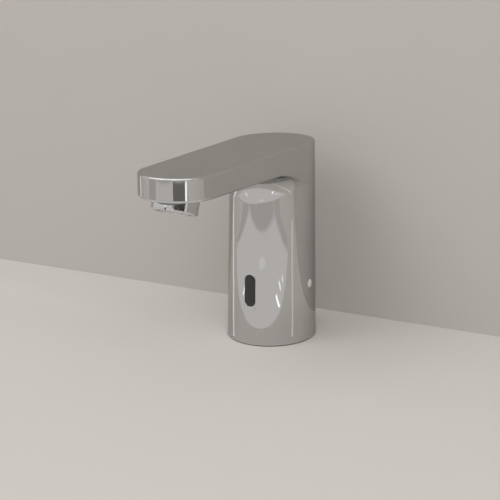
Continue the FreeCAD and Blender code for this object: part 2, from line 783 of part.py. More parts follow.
def mixer_spindle():
    """A hollow rotor: a port over each leg, one turned each way, and a port up to the neck."""
    rotor = "barrel_bore - running_clearance"
    start = "-barrel_half_length + barrel_end_wall + loose_clearance"
    shoulder = "port_x + spindle_port_radius + spindle_land"
    end = "cap_seat + cap_head - casting_wall - spindle_end_gap"
    groove = f"{shoulder} + 2"
    groove_end = f"{groove} + spindle_ring_width + 0.1"
    groove_floor = "spindle_neck_radius - spindle_ring_depth"
    blank = turned(
        (0, start), (rotor, start), (rotor, shoulder), ("spindle_neck_radius", shoulder),
        ("spindle_neck_radius", groove), (groove_floor, groove), (groove_floor, groove_end),
        ("spindle_neck_radius", groove_end), ("spindle_neck_radius", end), (0, end),
        y="inner_axis_y", z="adjuster_height", along=X_AXIS,
    )  # fmt: skip
    hollow_length = f"{shoulder} - ({start}) - 3"
    hollow = cylinder("spindle_bore", hollow_length, f"{start} + 1.5", "inner_axis_y", "adjuster_height", X_AXIS)
    ports = []
    for x, lean in (("port_x", 30), ("-port_x", -30), (0, 180)):
        port = cylinder("spindle_port_radius", "barrel_bore + 1", x, "inner_axis_y", "adjuster_height")
        port.Placement.Rotation = FreeCAD.Rotation(X_AXIS, 180 + lean)
        ports.append(port)
    key = hexagon("spindle_key", "spindle_key_depth + 1", f"{end} - spindle_key_depth", "inner_axis_y",
                  "adjuster_height", X_AXIS)  # fmt: skip
    return cut(blank, hollow, *ports, key), f"{groove} + 0.05 + spindle_ring_width / 2", shoulder


def mixer_gland(shoulder):
    inner, outer = "spindle_neck_radius + running_clearance", "barrel_bore - screw_clearance"
    start = f"{shoulder} + loose_clearance"
    sleeve = turned(
        (inner, start), (outer, start), (outer, "barrel_half_length"), (inner, "barrel_half_length"),
        y="inner_axis_y", z="adjuster_height", along=X_AXIS,
    )  # fmt: skip
    flange = cut(
        hexagon("gland_across_flats", "gland_flange", "barrel_half_length", "inner_axis_y", "adjuster_height", X_AXIS),
        cylinder(inner, "gland_flange + 2", "barrel_half_length - 1", "inner_axis_y", "adjuster_height", X_AXIS),
    )
    return fuse(sleeve, flange)


def adjuster_cap():
    """A push-in plug over the adjusting screw: a low crown, and a stem with a soft lip."""
    crown = "cap_head + cap_crown"
    return turned(
        (0, "-cap_stem"), ("cap_stem_radius - 0.4", "-cap_stem"), ("cap_stem_radius", "-cap_stem + 0.6"),
        ("cap_stem_radius", 0), ("cap_radius", 0), ("cap_radius", "cap_head"),
        ("cap_radius * 0.7", f"{crown} - cap_crown * 0.35"), ("cap_radius * 0.35", crown), (0, crown),
        x="cap_seat", y="inner_axis_y", z="adjuster_height", along=X_AXIS,
    )  # fmt: skip


spindle, ring_x, spindle_shoulder = mixer_spindle()
node("mixer_housing", mixer_housing())
node("mixer_screws", group(*both_sides(ear_screw, "port_x")))
node("mixer_spindle", spindle)
ring_inner, ring_outer = "spindle_neck_radius - spindle_ring_depth", "spindle_neck_radius + running_clearance / 2"
spindle_ring = ring(ring_inner, ring_outer, "spindle_ring_width", ring_x, 0, "inner_axis_y", "adjuster_height", X_AXIS)
node("spindle_seal", spindle_ring)
node("mixer_gland", mixer_gland(spindle_shoulder))
node("adjuster_cap", adjuster_cap())


# ---------------------------------------------------------------- a check valve in each leg


def pierced(disc, across_flats, hole_circle, count, x, y, z, tall):
    """A disc with a ring of small hexagonal holes through it."""

    def hole_at(angle):
        aside, along = f"({hole_circle}) * cos(({angle}) * 1deg)", f"({hole_circle}) * sin(({angle}) * 1deg)"
        return hexagon(across_flats, tall, f"({x}) + {aside}", f"({y}) + {along}", z)

    return cut(disc, *around(count, hole_at))


def check_body(x):
    outer = "check_pocket_radius - screw_clearance"
    sleeve = turned(
        ("check_seat_radius", "check_foot"), (outer, "check_foot"), (outer, "check_top"),
        ("poppet_stem_radius + running_clearance", "check_top"), ("poppet_stem_radius + running_clearance", "guide_foot"),
        ("check_bore", "guide_foot"), ("check_bore", "poppet_foot"), ("check_seat_radius", "poppet_foot"),
        x=x, y="inner_axis_y",
    )  # fmt: skip
    return pierced(sleeve, "check_hole", "check_hole_circle", 5, x, "inner_axis_y", "guide_foot - 1", "check_guide + 2")


def check_poppet(x):
    back, stem_top = "poppet_foot + poppet_thickness", "guide_foot + check_guide - check_travel + 1.2"
    return turned(
        (0, "poppet_foot - 0.8"), ("check_seat_radius - 0.5", "poppet_foot"), ("poppet_radius", "poppet_foot"),
        ("poppet_radius", back), ("poppet_stem_radius", back), ("poppet_stem_radius", stem_top), (0, stem_top),
        x=x, y="inner_axis_y",
    )  # fmt: skip


def check_spring(x):
    low, high = "poppet_foot + poppet_thickness + 0.05", "guide_foot - 0.05"
    middle = "poppet_stem_radius + check_wire + 0.3"
    return coil_spring(middle, "check_wire", "check_turns", low, high, x, "inner_axis_y")


def strainer(x):
    foot = "gasket_thickness + port_length"
    disc = cylinder("port_top_radius - screw_clearance", "strainer_thickness", x, "inner_axis_y", foot)
    disc = pierced(disc, "strainer_hole", "strainer_hole_circle", 6, x, "inner_axis_y", f"{foot} - 1", 3)
    return cut(disc, hexagon("strainer_hole", 3, x, "inner_axis_y", f"{foot} - 1"))


for side, leg_x in (("hot", "-port_x"), ("cold", "port_x")):
    node(f"{side}_strainer", strainer(leg_x))
    node(f"{side}_check_body", check_body(leg_x))
    node(f"{side}_check_poppet", check_poppet(leg_x))
    node(f"{side}_check_spring", check_spring(leg_x))


# ---------------------------------------------------------------- the servo valve


def valve_body():
    """Water comes up the spigot, spreads along the gallery to a ring channel, and leaves through the seat."""
    drum = cylinder("valve_radius", "valve_height", 0, "inner_axis_y", "valve_foot")
    spigot = cylinder("spigot_radius", "spigot_length + 1", 0, "inner_axis_y", "valve_foot - spigot_length")
    lug = cylinder("riser_lug_radius", "valve_height - riser_lug_rise", 0, "riser_y", "valve_foot + riser_lug_rise")
    rise = "spigot_length + gallery_rise"
    entry = cylinder("spigot_bore", rise, 0, "inner_axis_y", "valve_foot - spigot_length")
    gallery_z = "valve_foot + gallery_rise"
    gallery = cylinder("gallery_radius", "2 * gallery_reach", "-gallery_reach", "inner_axis_y", gallery_z, X_AXIS)
    feeds = both_sides(
        lambda x: cylinder("gallery_radius", "ring_channel_floor - gallery_rise + 0.5", x, "inner_axis_y", gallery_z),
        "gallery_reach",
    )
    channel = turned(
        ("seat_radius", "valve_foot + ring_channel_floor"), ("ring_channel_radius", "valve_foot + ring_channel_floor"),
        ("ring_channel_radius", "seat_top"), ("chamber_radius", "seat_top"), ("chamber_radius", "valve_top + 1"),
        (0, "valve_top + 1"), (0, "seat_top"), ("seat_radius", "seat_top"), y="inner_axis_y",
    )  # fmt: skip
    outlet_z = "valve_foot + outlet_rise"
    throat = cylinder("seat_bore", "seat_top - valve_foot - outlet_rise + 1", 0, "inner_axis_y", outlet_z)
    outlet = cylinder("outlet_radius", "riser_y - inner_axis_y", 0, "inner_axis_y", outlet_z, Y_AXIS)
    climb = cylinder("outlet_radius", "valve_height - outlet_rise", 0, "riser_y", outlet_z)
    socket = cylinder("riser_socket_radius", "riser_socket_depth + 1", 0, "riser_y", "valve_top - riser_socket_depth")
    threads = screw_bars("cover_screw_radius + screw_clearance", "cover_screw_length", "valve_top - cover_screw_length + cover_thickness")
    return cut(fuse(drum, spigot, lug), entry, gallery, *feeds, channel, throat, outlet, climb, socket, *threads)


def screw_bars(radius, length, z):
    """Four bars on the cover's screw circle."""
    reach = "cover_screw_circle / sqrt(2)"
    return [
        cylinder(radius, length, x, f"inner_axis_y + {y}", z)
        for x in (reach, f"-{reach}")
        for y in (reach, f"-1 * {reach}")
    ]


def cover_screws():
    shanks = screw_bars("cover_screw_radius", "cover_screw_length - 0.5", "cover_top - cover_screw_length + 0.5")
    heads = screw_bars("cover_screw_head_radius", "cover_screw_head", "cover_top")
    return group(*[fuse(shank, head) for shank, head in zip(shanks, heads)])


def valve_cover():
    drum = cylinder("valve_radius", "cover_thickness", 0, "inner_axis_y", "valve_top")
    recess = cylinder("cover_recess_radius", "cover_recess + 1", 0, "inner_axis_y", "valve_top - 1")
    pilot = cylinder("pilot_radius", "cover_thickness", 0, "inner_axis_y", "valve_top")
    socket_depth = "tube_socket_depth + 1"
    socket = cylinder("core_flange_radius + screw_clearance", socket_depth, 0, "inner_axis_y", "tube_foot")
    notch = cylinder("riser_radius + 0.4", "cover_thickness + 2", 0, "riser_y", "valve_top - 1")
    threads = screw_bars("cover_screw_radius + screw_clearance", "cover_thickness + 2", "valve_top - 1")
    return cut(drum, recess, pilot, socket, notch, *threads)


def servo_piston():
    """The piston rests on the valve's seat with a soft washer, and water behind it holds it shut."""
    rim = "chamber_radius - running_clearance - 0.3"
    groove_floor, foot = "chamber_radius - running_clearance - lip_width", "seat_top"
    groove = ("seat_top + 0.7", "seat_top + 0.7 + lip_height")
    crown, hub = "seat_top + piston_thickness", "seat_top + piston_thickness + piston_hub"
    blank = turned(
        (0, "seat_top + washer_thickness"), ("washer_radius + 0.05", "seat_top + washer_thickness"),
        ("washer_radius + 0.05", f"{foot} + 0.1"), (rim, f"{foot} + 0.1"), (rim, groove[0]), (groove_floor, groove[0]),
        (groove_floor, groove[1]), (rim, groove[1]), (rim, crown), ("piston_hub_radius", crown),
        ("piston_hub_radius", hub), (0, hub), y="inner_axis_y",
    )  # fmt: skip
    bleed = cylinder("bleed_radius", "piston_thickness + 2", "washer_radius + 1.6", "inner_axis_y", "seat_top - 1")
    return cut(blank, bleed)


def piston_seal():
    inner, outer = "chamber_radius - running_clearance - lip_width", "chamber_radius - running_clearance"
    low, high = "seat_top + 0.7", "seat_top + 0.7 + lip_height"
    return turned((inner, low), (outer, low), (outer, high), (inner, high), y="inner_axis_y")


node("valve_body", valve_body())
node("valve_cover", valve_cover())
node("cover_screws", cover_screws())
node("servo_piston", servo_piston())
node("piston_seal", piston_seal())
node("seat_washer", cylinder("washer_radius", "washer_thickness", 0, "inner_axis_y", "seat_top"))


# ---------------------------------------------------------------- the solenoid


def core_tube():
    """A closed tube: a flange in the cover, a solid stop at the top and a threaded stub for the coil's nut."""
    inner = "core_radius - core_wall"
    flange_top = "tube_foot + core_flange"
    return turned(
        (inner, "tube_foot"), ("core_flange_radius", "tube_foot"), ("core_flange_radius", flange_top),
        ("core_radius", flange_top), ("core_radius", "core_top"), ("core_stub_radius", "core_top"),
        ("core_stub_radius", "core_top + core_stub"), (0, "core_top + core_stub"), (0, "stop_face"), (inner, "stop_face"),
        y="inner_axis_y",
    )  # fmt: skip


def plunger():
    outer, tip_top = "core_radius - core_wall - running_clearance", "plunger_foot + plunger_tip"
    pocket_floor = "plunger_top - plunger_pocket"
    return turned(
        (0, "plunger_foot"), ("plunger_tip_radius", "plunger_foot"), ("plunger_tip_radius", tip_top), (outer, tip_top),
        (outer, "plunger_top"), ("plunger_pocket_radius", "plunger_top"), ("plunger_pocket_radius", pocket_floor),
        (0, pocket_floor), y="inner_axis_y",
    )  # fmt: skip


def yoke_hole(low):
    return cylinder("core_radius + screw_clearance", "yoke_sheet + 2", 0, "inner_axis_y", f"({low}) - 1")


def coil_yoke():
    """A steel frame round the coil: a plate below it, a plate above it and one upright side."""
    outer, inner = "coil_radius + 0.2 + yoke_sheet", "coil_radius + 0.2"
    depth = ("inner_axis_y - yoke_half_width", "inner_axis_y + yoke_half_width")
    low, high = "cover_top", "core_top - yoke_sheet"
    lower = block((f"-({outer})", "coil_radius"), depth, (low, f"{low} + yoke_sheet"))
    upper = block((f"-({outer})", "coil_radius"), depth, (high, "core_top"))
    side = block((f"-({outer})", f"-({inner})"), depth, (low, "core_top"))
    frame = fuse(lower, upper, side)
    return cut(frame, yoke_hole(low), yoke_hole(high))


def solenoid_coil():
    low, high = "cover_top + yoke_sheet", "core_top - yoke_sheet"
    inner = "core_radius + screw_clearance"
    return turned((inner, low), ("coil_radius", low), ("coil_radius", high), (inner, high), y="inner_axis_y")


def coil_nut():
    blank = hexagon("coil_nut_across", "coil_nut_height", 0, "inner_axis_y", "core_top")
    return cut(blank, cylinder("core_stub_radius + screw_clearance", "coil_nut_height + 2", 0, "inner_axis_y", "core_top - 1"))


node("core_tube", core_tube())
node("plunger", plunger())
plunger_spring_foot = "plunger_top - plunger_pocket + 0.05"
node(
    "plunger_spring",
    coil_spring("plunger_pocket_radius - plunger_wire - 0.3", "plunger_wire", "plunger_turns", plunger_spring_foot,
                "stop_face - 0.05", 0, "inner_axis_y"),
)  # fmt: skip
node("coil_yoke", coil_yoke())
node("solenoid_coil", solenoid_coil())
node("coil_nut", coil_nut())


# ---------------------------------------------------------------- the tube up to the spout


ring_levels = ("valve_top - 3.5", "cavity_height + 3.5")


def outlet_tube():
    """A plain tube with an O-ring groove near each end."""
    floor = "riser_radius - riser_ring_depth"
    corners = [("riser_bore", "riser_foot"), ("riser_radius", "riser_foot")]
    for level in ring_levels:
        low, high = f"{level} - riser_ring_width / 2 - 0.05", f"{level} + riser_ring_width / 2 + 0.05"
        corners += [("riser_radius", low), (floor, low), (floor, high), ("riser_radius", high)]
    corners += [("riser_radius", "riser_top"), ("riser_bore", "riser_top")]
    return turned(*corners, y="riser_y")


def outlet_ring(level):
    return ring("riser_radius - riser_ring_depth", "riser_socket_radius", "riser_ring_width", level, 0, "riser_y")


node("outlet_tube", outlet_tube())
node("outlet_seals", group(*[outlet_ring(level) for level in ring_levels]))


# ---------------------------------------------------------------- the aerator


def aerator_housing():
    """A screwed-in ring: its lower rim shows under the spout, with two slots for a key."""
    lip_top = "-aerator_drop + aerator_lip"
    shell = turned(
        ("aerator_lip_bore", "-aerator_drop"), ("aerator_radius - aerator_rim_round", "-aerator_drop"),
        ("aerator_radius - aerator_rim_round * 0.3", "-aerator_drop + aerator_rim_round * 0.3"),
        ("aerator_radius", "-aerator_drop + aerator_rim_round"), ("aerator_radius", "aerator_grip"),
        ("aerator_bore", "aerator_grip"), ("aerator_bore", lip_top), ("aerator_lip_bore", lip_top),
    )  # fmt: skip
    half = "wrench_slot_width / 2"
    keyway = block(
        (f"-{half}", half), ("-aerator_radius - 1", "aerator_radius + 1"),
        ("-aerator_drop - 1", "-aerator_drop + wrench_slot_depth"),
    )  # fmt: skip
    keyway = group(cut(keyway, cylinder("aerator_bore", 20, 0, 0, -10)))
    keyway.Placement.Rotation = FreeCAD.Rotation(Z_AXIS, 1)
    bind(keyway, **{"Placement.Rotation.Angle": "wrench_slot_turn"})
    return aerator_place(group(cut(shell, keyway)))


def aerator_insert():
    """A cup whose floor is a honeycomb of small jets."""
    outer, floor = "aerator_bore - running_clearance", "-aerator_drop + aerator_lip"
    top = "aerator_grip - flow_disc_thickness"
    cup = turned(
        (0, floor), (outer, floor), (outer, top), ("aerator_bore - insert_skirt", top),
        ("aerator_bore - insert_skirt", f"{floor} + insert_web"), (0, f"{floor} + insert_web"),
    )  # fmt: skip
    tall, low = "insert_web + 2", f"{floor} - 1"
    jets = []
    for across in range(-3, 4):
        for along in range(-3, 4):
            if abs(across + along) <= 3:
                x = f"({across} + {along} / 2) * insert_hole_pitch"
                jets.append(hexagon("insert_hole", tall, x, f"{along} * insert_hole_pitch * sqrt(3) / 2", low))
    return aerator_place(group(cut(cup, *jets)))


def flow_disc():
    low = "aerator_grip - flow_disc_thickness"
    disc = cylinder("aerator_bore - running_clearance", "flow_disc_thickness", 0, 0, low)
    return aerator_place(group(pierced(disc, "flow_hole", "flow_hole_circle", 8, 0, 0, f"{low} - 1", 4)))


def aerator_seal():
    low, high = "aerator_grip", "aerator_grip + aerator_ring_thickness"
    inner, outer = "aerator_ring_bore", "aerator_radius"
    return aerator_place(turned((inner, low), (outer, low), (outer, high), (inner, high)))


node("aerator_housing", aerator_housing())
node("aerator_insert", aerator_insert())
node("flow_disc", flow_disc())
node("aerator_seal", aerator_seal())


# ---------------------------------------------------------------- the sensor


def sensor_lens():
    """A dark window that follows the column's curve just below its surface, with a flange behind the wall."""
    pane = slot("lens_radius", "lens_straight", ("-base_half_depth - 1", "flange_front + 0.5"), "sensor_height")
    face = tapered_oval("lens_recess", "casting_foot", "cavity_height")
    flange = slot("lens_radius + lens_flange_rim", "lens_straight", ("flange_front", "case_front"), "sensor_height")
    return fuse(common(pane, face), flange)


def lens_seal():
    sheet = slot("lens_radius + lens_flange_rim", "lens_straight", ("pocket_y", "flange_front"), "sensor_height")
    hole = slot("lens_radius + window_clearance", "lens_straight", ("pocket_y - 1", "flange_front + 1"), "sensor_height")
    return cut(sheet, hole)


def sensor_case():
    """A box open to the window, with a wall between its two diodes so that one can't see the other."""
    wide = ("-case_half_width", "case_half_width")
    tall = ("sensor_height - case_half_height", "sensor_height + case_half_height")
    inner_wide = ("-case_half_width + case_wall", "case_half_width - case_wall")
    inner_tall = (f"{tall[0]} + case_wall", f"{tall[1]} - case_wall")
    box = block(wide, ("case_front", "case_back"), tall)
    hollow = block(inner_wide, ("case_front - 1", "case_back - case_wall"), inner_tall)
    divider = block(inner_wide, ("case_front", "board_front - 0.1"),
                    ("sensor_height - case_wall / 2", "sensor_height + case_wall / 2"))  # fmt: skip
    return fuse(cut(box, hollow), divider)


def sensor_board():
    edge = "(case_wall + loose_clearance)"
    return block(
        (f"-case_half_width + {edge}", f"case_half_width - {edge}"), ("board_front", "board_back"),
        (f"sensor_height - case_half_height + {edge}", f"sensor_height + case_half_height - {edge}"),
    )  # fmt: skip


def diode(z):
    """A round-nosed infrared diode that stands on the board and looks out of the window."""
    length = "diode_length"
    return turned(
        (0, 0), ("diode_radius + 0.3", 0), ("diode_radius + 0.3", 0.8), ("diode_radius", 0.8), ("diode_radius", length),
        ("diode_radius * 0.7", f"{length} + diode_radius * 0.7"), (0, f"{length} + diode_radius"),
        y="board_front", z=z, along=-Y_AXIS,
    )  # fmt: skip


def case_pad():
    """A rubber pad that presses the sensor case forward from the mixing valve's barrel."""
    barrel_front = "inner_axis_y - barrel_radius - screw_clearance"
    return block(("-case_half_width + 1", "case_half_width - 1"), ("case_back", barrel_front),
                 ("adjuster_height - 5", "adjuster_height + 5"))  # fmt: skip


node("sensor_lens", sensor_lens())
node("lens_seal", lens_seal())
node("sensor_case", sensor_case())
node("sensor_board", sensor_board())
node("infrared_emitter", diode("sensor_height + diode_spacing / 2"))
node("infrared_receiver", diode("sensor_height - diode_spacing / 2"))
node("case_pad", case_pad())


# ---------------------------------------------------------------- check and write

doc.recompute()
for thing in doc.Objects:
    if {"Invalid", "Error"} & set(thing.State):
        raise RuntimeError(f"{thing.Label} ({thing.TypeId}) failed: {thing.State}")
os.makedirs("parts", exist_ok=True)
for thing in nodes:
    shape = thing.Shape
    if shape.isNull() or not shape.isValid() or not shape.Solids:
        raise RuntimeError(f"{thing.Label} has no valid shape")
for thing in nodes:
    thing.Shape.exportStep(f"parts/{thing.Label}.step")
    print(f"{thing.Label}: {len(thing.Shape.Solids)} solid, {thing.Shape.Volume:.1f} mm3")
print(f"{len(nodes)} nodes")
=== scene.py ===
from math import atan, atan2, cos, hypot, pi, radians, sin, sqrt, tan, tau

import bmesh
import bpy
from mathutils import Matrix, Vector


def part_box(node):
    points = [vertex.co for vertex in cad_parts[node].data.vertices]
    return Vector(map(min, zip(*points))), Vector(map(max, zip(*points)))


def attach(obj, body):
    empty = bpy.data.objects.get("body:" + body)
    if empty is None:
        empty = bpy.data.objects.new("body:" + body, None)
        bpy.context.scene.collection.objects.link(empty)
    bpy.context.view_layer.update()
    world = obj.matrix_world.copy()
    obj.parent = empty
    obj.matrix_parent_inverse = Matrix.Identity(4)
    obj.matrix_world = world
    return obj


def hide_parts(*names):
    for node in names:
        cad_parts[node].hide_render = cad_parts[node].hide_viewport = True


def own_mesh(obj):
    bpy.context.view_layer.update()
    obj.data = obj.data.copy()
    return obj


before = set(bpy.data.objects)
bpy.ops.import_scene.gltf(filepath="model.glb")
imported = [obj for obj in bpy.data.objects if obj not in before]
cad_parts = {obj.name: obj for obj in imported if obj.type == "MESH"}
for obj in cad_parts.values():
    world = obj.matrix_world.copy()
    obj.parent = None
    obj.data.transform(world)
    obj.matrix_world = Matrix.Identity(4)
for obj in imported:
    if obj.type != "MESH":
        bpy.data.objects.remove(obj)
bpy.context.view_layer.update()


# ---------------------------------------------------------------- the casting
# The real piece is one hollow brass casting: an oval column with a flat spout that tapers to a round tip.
# It is ground, polished and chromed, so every outside edge is softly rounded, and the spout's underside
# runs into the column in a hollow curve.

MM = 0.001


def linear(hex_colour):
    """A hex sRGB colour as the linear colour that shaders use."""
    channels = [int(hex_colour[at : at + 2], 16) / 255 for at in (1, 3, 5)]
    return [c / 12.92 if c <= 0.04045 else ((c + 0.055) / 1.055) ** 2.4 for c in channels] + [1]


def new_finish(name):
    """An empty material: its node tree and its Principled shader."""
    material = bpy.data.materials.new(name)
    material.use_nodes = True
    return material, material.node_tree, material.node_tree.nodes["Principled BSDF"]


def add_node(tree, kind, settings=None, **sockets):
    """Add a shader node. A socket takes a value or another node's output; _0 is the first socket."""
    made = tree.nodes.new("ShaderNode" + kind)
    for name, value in (settings or {}).items():
        setattr(made, name, value)
    for name, value in sockets.items():
        plug(tree, made, int(name[1:]) if name[0] == "_" else name.replace("_", " "), value)
    return made


def plug(tree, shader, socket, value):
    """Set a socket to a value, or link it to another node's output."""
    if isinstance(value, bpy.types.NodeSocket):
        tree.links.new(value, shader.inputs[socket])
    else:
        shader.inputs[socket].default_value = value


def new_piece(name, bm, material, body, *replaced, slot=None, sharp=30):
    """Turn a bmesh drawn in millimetres into a piece that rides on a body."""
    piece = bpy.data.objects.new(name, mesh_of(name, bm))
    bpy.context.scene.collection.objects.link(piece)
    piece.data.materials.append(material)
    smooth(piece, sharp)
    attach(piece, body)
    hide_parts(*replaced)
    return piece


def mesh_of(name, bm):
    """The bmesh as a mesh in metres, facing outwards."""
    bmesh.ops.recalc_face_normals(bm, faces=bm.faces)
    bmesh.ops.scale(bm, vec=(MM, MM, MM), verts=bm.verts)
    mesh = bpy.data.meshes.new(name)
    bm.to_mesh(mesh)
    bm.free()
    return mesh


def smooth(piece, sharp):
    """Smooth shading that keeps flat faces flat, with edges sharp above an angle in degrees."""
    for face in piece.data.polygons:
        face.use_smooth = True
    piece.data.set_sharp_from_angle(angle=radians(sharp))
    piece.modifiers.clear()
    weigh = piece.modifiers.new("even_shading", "WEIGHTED_NORMAL")
    weigh.keep_sharp = True


def carve(piece, *tools, sharp=30):
    """Cut bmeshes drawn in millimetres out of a piece."""
    piece.modifiers.clear()
    cutters = []
    for bm in tools:
        cutter = bpy.data.objects.new("cutter", mesh_of("cutter", bm))
        bpy.context.scene.collection.objects.link(cutter)
        cutters.append(cutter)
        boolean = piece.modifiers.new("cut", "BOOLEAN")
        boolean.solver = "EXACT"
        boolean.operation = "DIFFERENCE"
        boolean.object = cutter
    bpy.context.view_layer.update()
    evaluated = piece.evaluated_get(bpy.context.evaluated_depsgraph_get())
    piece.data = bpy.data.meshes.new_from_object(evaluated)
    smooth(piece, sharp)
    for cutter in cutters:
        bpy.data.objects.remove(cutter)


TAP_HEIGHT, FOOT = 111.8, 0.5
BASE_HALF_WIDTH, TOP_HALF_WIDTH = 25.0, 22.7
BASE_HALF_DEPTH, TOP_HALF_DEPTH = 27.3, 26.5
REACH, TIP_RADIUS = 100.9, 19.65
ROOT_UNDER, TIP_UNDER = TAP_HEIGHT - 13.6, TAP_HEIGHT - 12.3
TOP_EDGE, UNDER_EDGE, FRONT_BLEND, SIDE_BLEND = 1.0, 1.3, 18.0, 8.0
# Half the skin is a grid: these steps run round it from the middle of the back to the tip's nose ...
BACK_STEPS, SIDE_STEPS, TIP_STEPS = 46, 44, 36
# ... and these rows run up the wall, out through the hollow blend, along the underside, round its edge,
# up the spout's side and over the top's edge.
WALL_ROWS, BLEND_ROWS, UNDER_ROWS, EDGE_ROWS, SIDE_ROWS, TOP_ROWS = 12, 24, 8, 8, 4, 8
# Points of the skin closer than this are one, and its flat foot and top get a narrow border.
JOIN_WITHIN, FLAT_BORDER = 0.01, 0.4


def half_sizes(level):
    """The column's half width and half depth at a height."""
    up = level / TAP_HEIGHT
    half_width = BASE_HALF_WIDTH + (TOP_HALF_WIDTH - BASE_HALF_WIDTH) * up
    return half_width, BASE_HALF_DEPTH + (TOP_HALF_DEPTH - BASE_HALF_DEPTH) * up


def oval_point(angle, level):
    """A point of the column's oval, and the direction it faces."""
    half_width, half_depth = half_sizes(level)
    out = Vector((cos(angle) / half_width, sin(angle) / half_depth, 0)).normalized()
    return Vector((half_width * cos(angle), half_depth * sin(angle), level)), out


def spout_side(level):
    """The oval's angle where the spout's straight side leaves it, and the direction the side faces."""
    half_width, half_depth = half_sizes(level)
    square = REACH**2 + half_width**2 - half_depth**2
    product = REACH * TIP_RADIUS
    lean = (sqrt(product**2 - square * (TIP_RADIUS**2 - half_width**2)) - product) / square
    out = Vector((sqrt(1 - lean**2), -lean, 0))
    return atan2(-half_depth * lean, half_width * out.x), out


def rim_point(step, level):
    """A point of the plan's outline, and the direction it faces."""
    root_angle, out = spout_side(level)
    if step <= BACK_STEPS:
        return oval_point(pi / 2 + (root_angle - pi / 2) * step / BACK_STEPS, level)
    root, tip_centre = oval_point(root_angle, level)[0], Vector((0, -REACH, level))
    shoulder = tip_centre + TIP_RADIUS * out
    step -= BACK_STEPS
    if step <= SIDE_STEPS:
        length = (shoulder - root).length
        widest = atan(length / BASE_HALF_WIDTH)
        along = BASE_HALF_WIDTH * tan(widest * step / SIDE_STEPS)
        return root.lerp(shoulder, along / length), out
    start = atan2(out.y, out.x)
    turn = start + (-pi / 2 - start) * (step - SIDE_STEPS) / TIP_STEPS
    out = Vector((cos(turn), sin(turn), 0))
    return tip_centre + TIP_RADIUS * out, out


def nearest_angle(point, level):
    """The angle of the point of the oval's front right quarter that lies nearest."""
    half_width, half_depth = half_sizes(level)
    low, high = -pi / 2, 0.1
    for _ in range(40):
        angle = (low + high) / 2
        away = Vector((point.x - half_width * cos(angle), point.y - half_depth * sin(angle)))
        if away.dot((-half_width * sin(angle), half_depth * cos(angle))) > 0:
            low = angle
        else:
            high = angle
    return angle


def steps_to(start, end, count):
    """Even steps from just after the start up to the end."""
    return [start + (end - start) * (step + 1) / count for step in range(count)]


def under_level(y):
    """The height of the spout's underside."""
    return ROOT_UNDER - (TIP_UNDER - ROOT_UNDER) * y / REACH


def blend_radius(away):
    """The hollow blend's radius, which shrinks from the column's front to its sides."""
    return SIDE_BLEND + (FRONT_BLEND - SIDE_BLEND) * max(-away.y, 0) ** 1.5


def blend_arc(away, level):
    """The hollow blend in an upright plane: its centre's distance and height, and its two end angles."""
    radius = blend_radius(away)
    taper = Vector((BASE_HALF_WIDTH - TOP_HALF_WIDTH, BASE_HALF_DEPTH - TOP_HALF_DEPTH)) / TAP_HEIGHT
    lean = taper.dot((abs(away.x), abs(away.y)))
    rise = (TIP_UNDER - ROOT_UNDER) / REACH * -away.y
    out = radius * (hypot(1, lean) + lean * hypot(1, rise)) / (1 + lean * rise)
    return out, level + rise * out - radius * hypot(1, rise), pi + atan(lean), pi / 2 + atan(rise)


def wall_and_under(step):
    """A line of the skin up the column's front, out through the blend and round the underside's edge."""
    rim, out = rim_point(step, ROOT_UNDER)
    ball = rim - UNDER_EDGE * out
    angle = nearest_angle(ball, ROOT_UNDER)
    foot, away = oval_point(angle, ROOT_UNDER)
    reach = (ball - foot).dot(away)
    centre, radius = foot.copy(), blend_radius(away)
    centre_out, centre.z, start, end = blend_arc(away, under_level(foot.y))
    if reach < centre_out:
        ball.z = centre.z + sqrt(max((radius + UNDER_EDGE) ** 2 - (centre_out - reach) ** 2, 0))
        end = atan2(ball.z - centre.z, reach - centre_out)
    else:
        ball.z = under_level(ball.y) + UNDER_EDGE
    centre += away * centre_out
    line = [oval_point(angle, z)[0] for z in steps_to(FOOT, centre.z + radius * sin(start), WALL_ROWS)]
    for turn in steps_to(start, end, BLEND_ROWS):
        line.append(centre + radius * (away * cos(turn) + Vector((0, 0, sin(turn)))))
    touch = line[-1] if reach < centre_out else Vector((ball.x, ball.y, ball.z - UNDER_EDGE))
    line += [line[-1].lerp(touch, share) for share in steps_to(0, 1, UNDER_ROWS)]
    start_out = (touch - ball).normalized()
    axis = start_out.cross(out)
    for turn in steps_to(0, start_out.angle(out), EDGE_ROWS):
        line.append(ball + UNDER_EDGE * (Matrix.Rotation(turn, 3, axis) @ start_out))
    return [oval_point(angle, FOOT)[0]] + line


def skin_line(step):
    """One upright line of the skin, from the foot to the edge of the flat top."""
    if step <= BACK_STEPS:
        root_angle = spout_side(ROOT_UNDER)[0]
        root, away = oval_point(root_angle, ROOT_UNDER)
        _, height, start, _ = blend_arc(away, under_level(root.y))
        levels = steps_to(FOOT, height + blend_radius(away) * sin(start), WALL_ROWS)
        line = [rim_point(step, z)[0] for z in [FOOT] + levels]
        line += [line[-1]] * (BLEND_ROWS + UNDER_ROWS + EDGE_ROWS)
    else:
        line = wall_and_under(step)
    line += [rim_point(step, z)[0] for z in steps_to(line[-1].z, TAP_HEIGHT - TOP_EDGE, SIDE_ROWS)]
    shoulder, out = line[-1], rim_point(step, TAP_HEIGHT)[1]
    for turn in steps_to(0, pi / 2, TOP_ROWS):
        line.append(shoulder + TOP_EDGE * (out * (cos(turn) - 1) + Vector((0, 0, sin(turn)))))
    return line


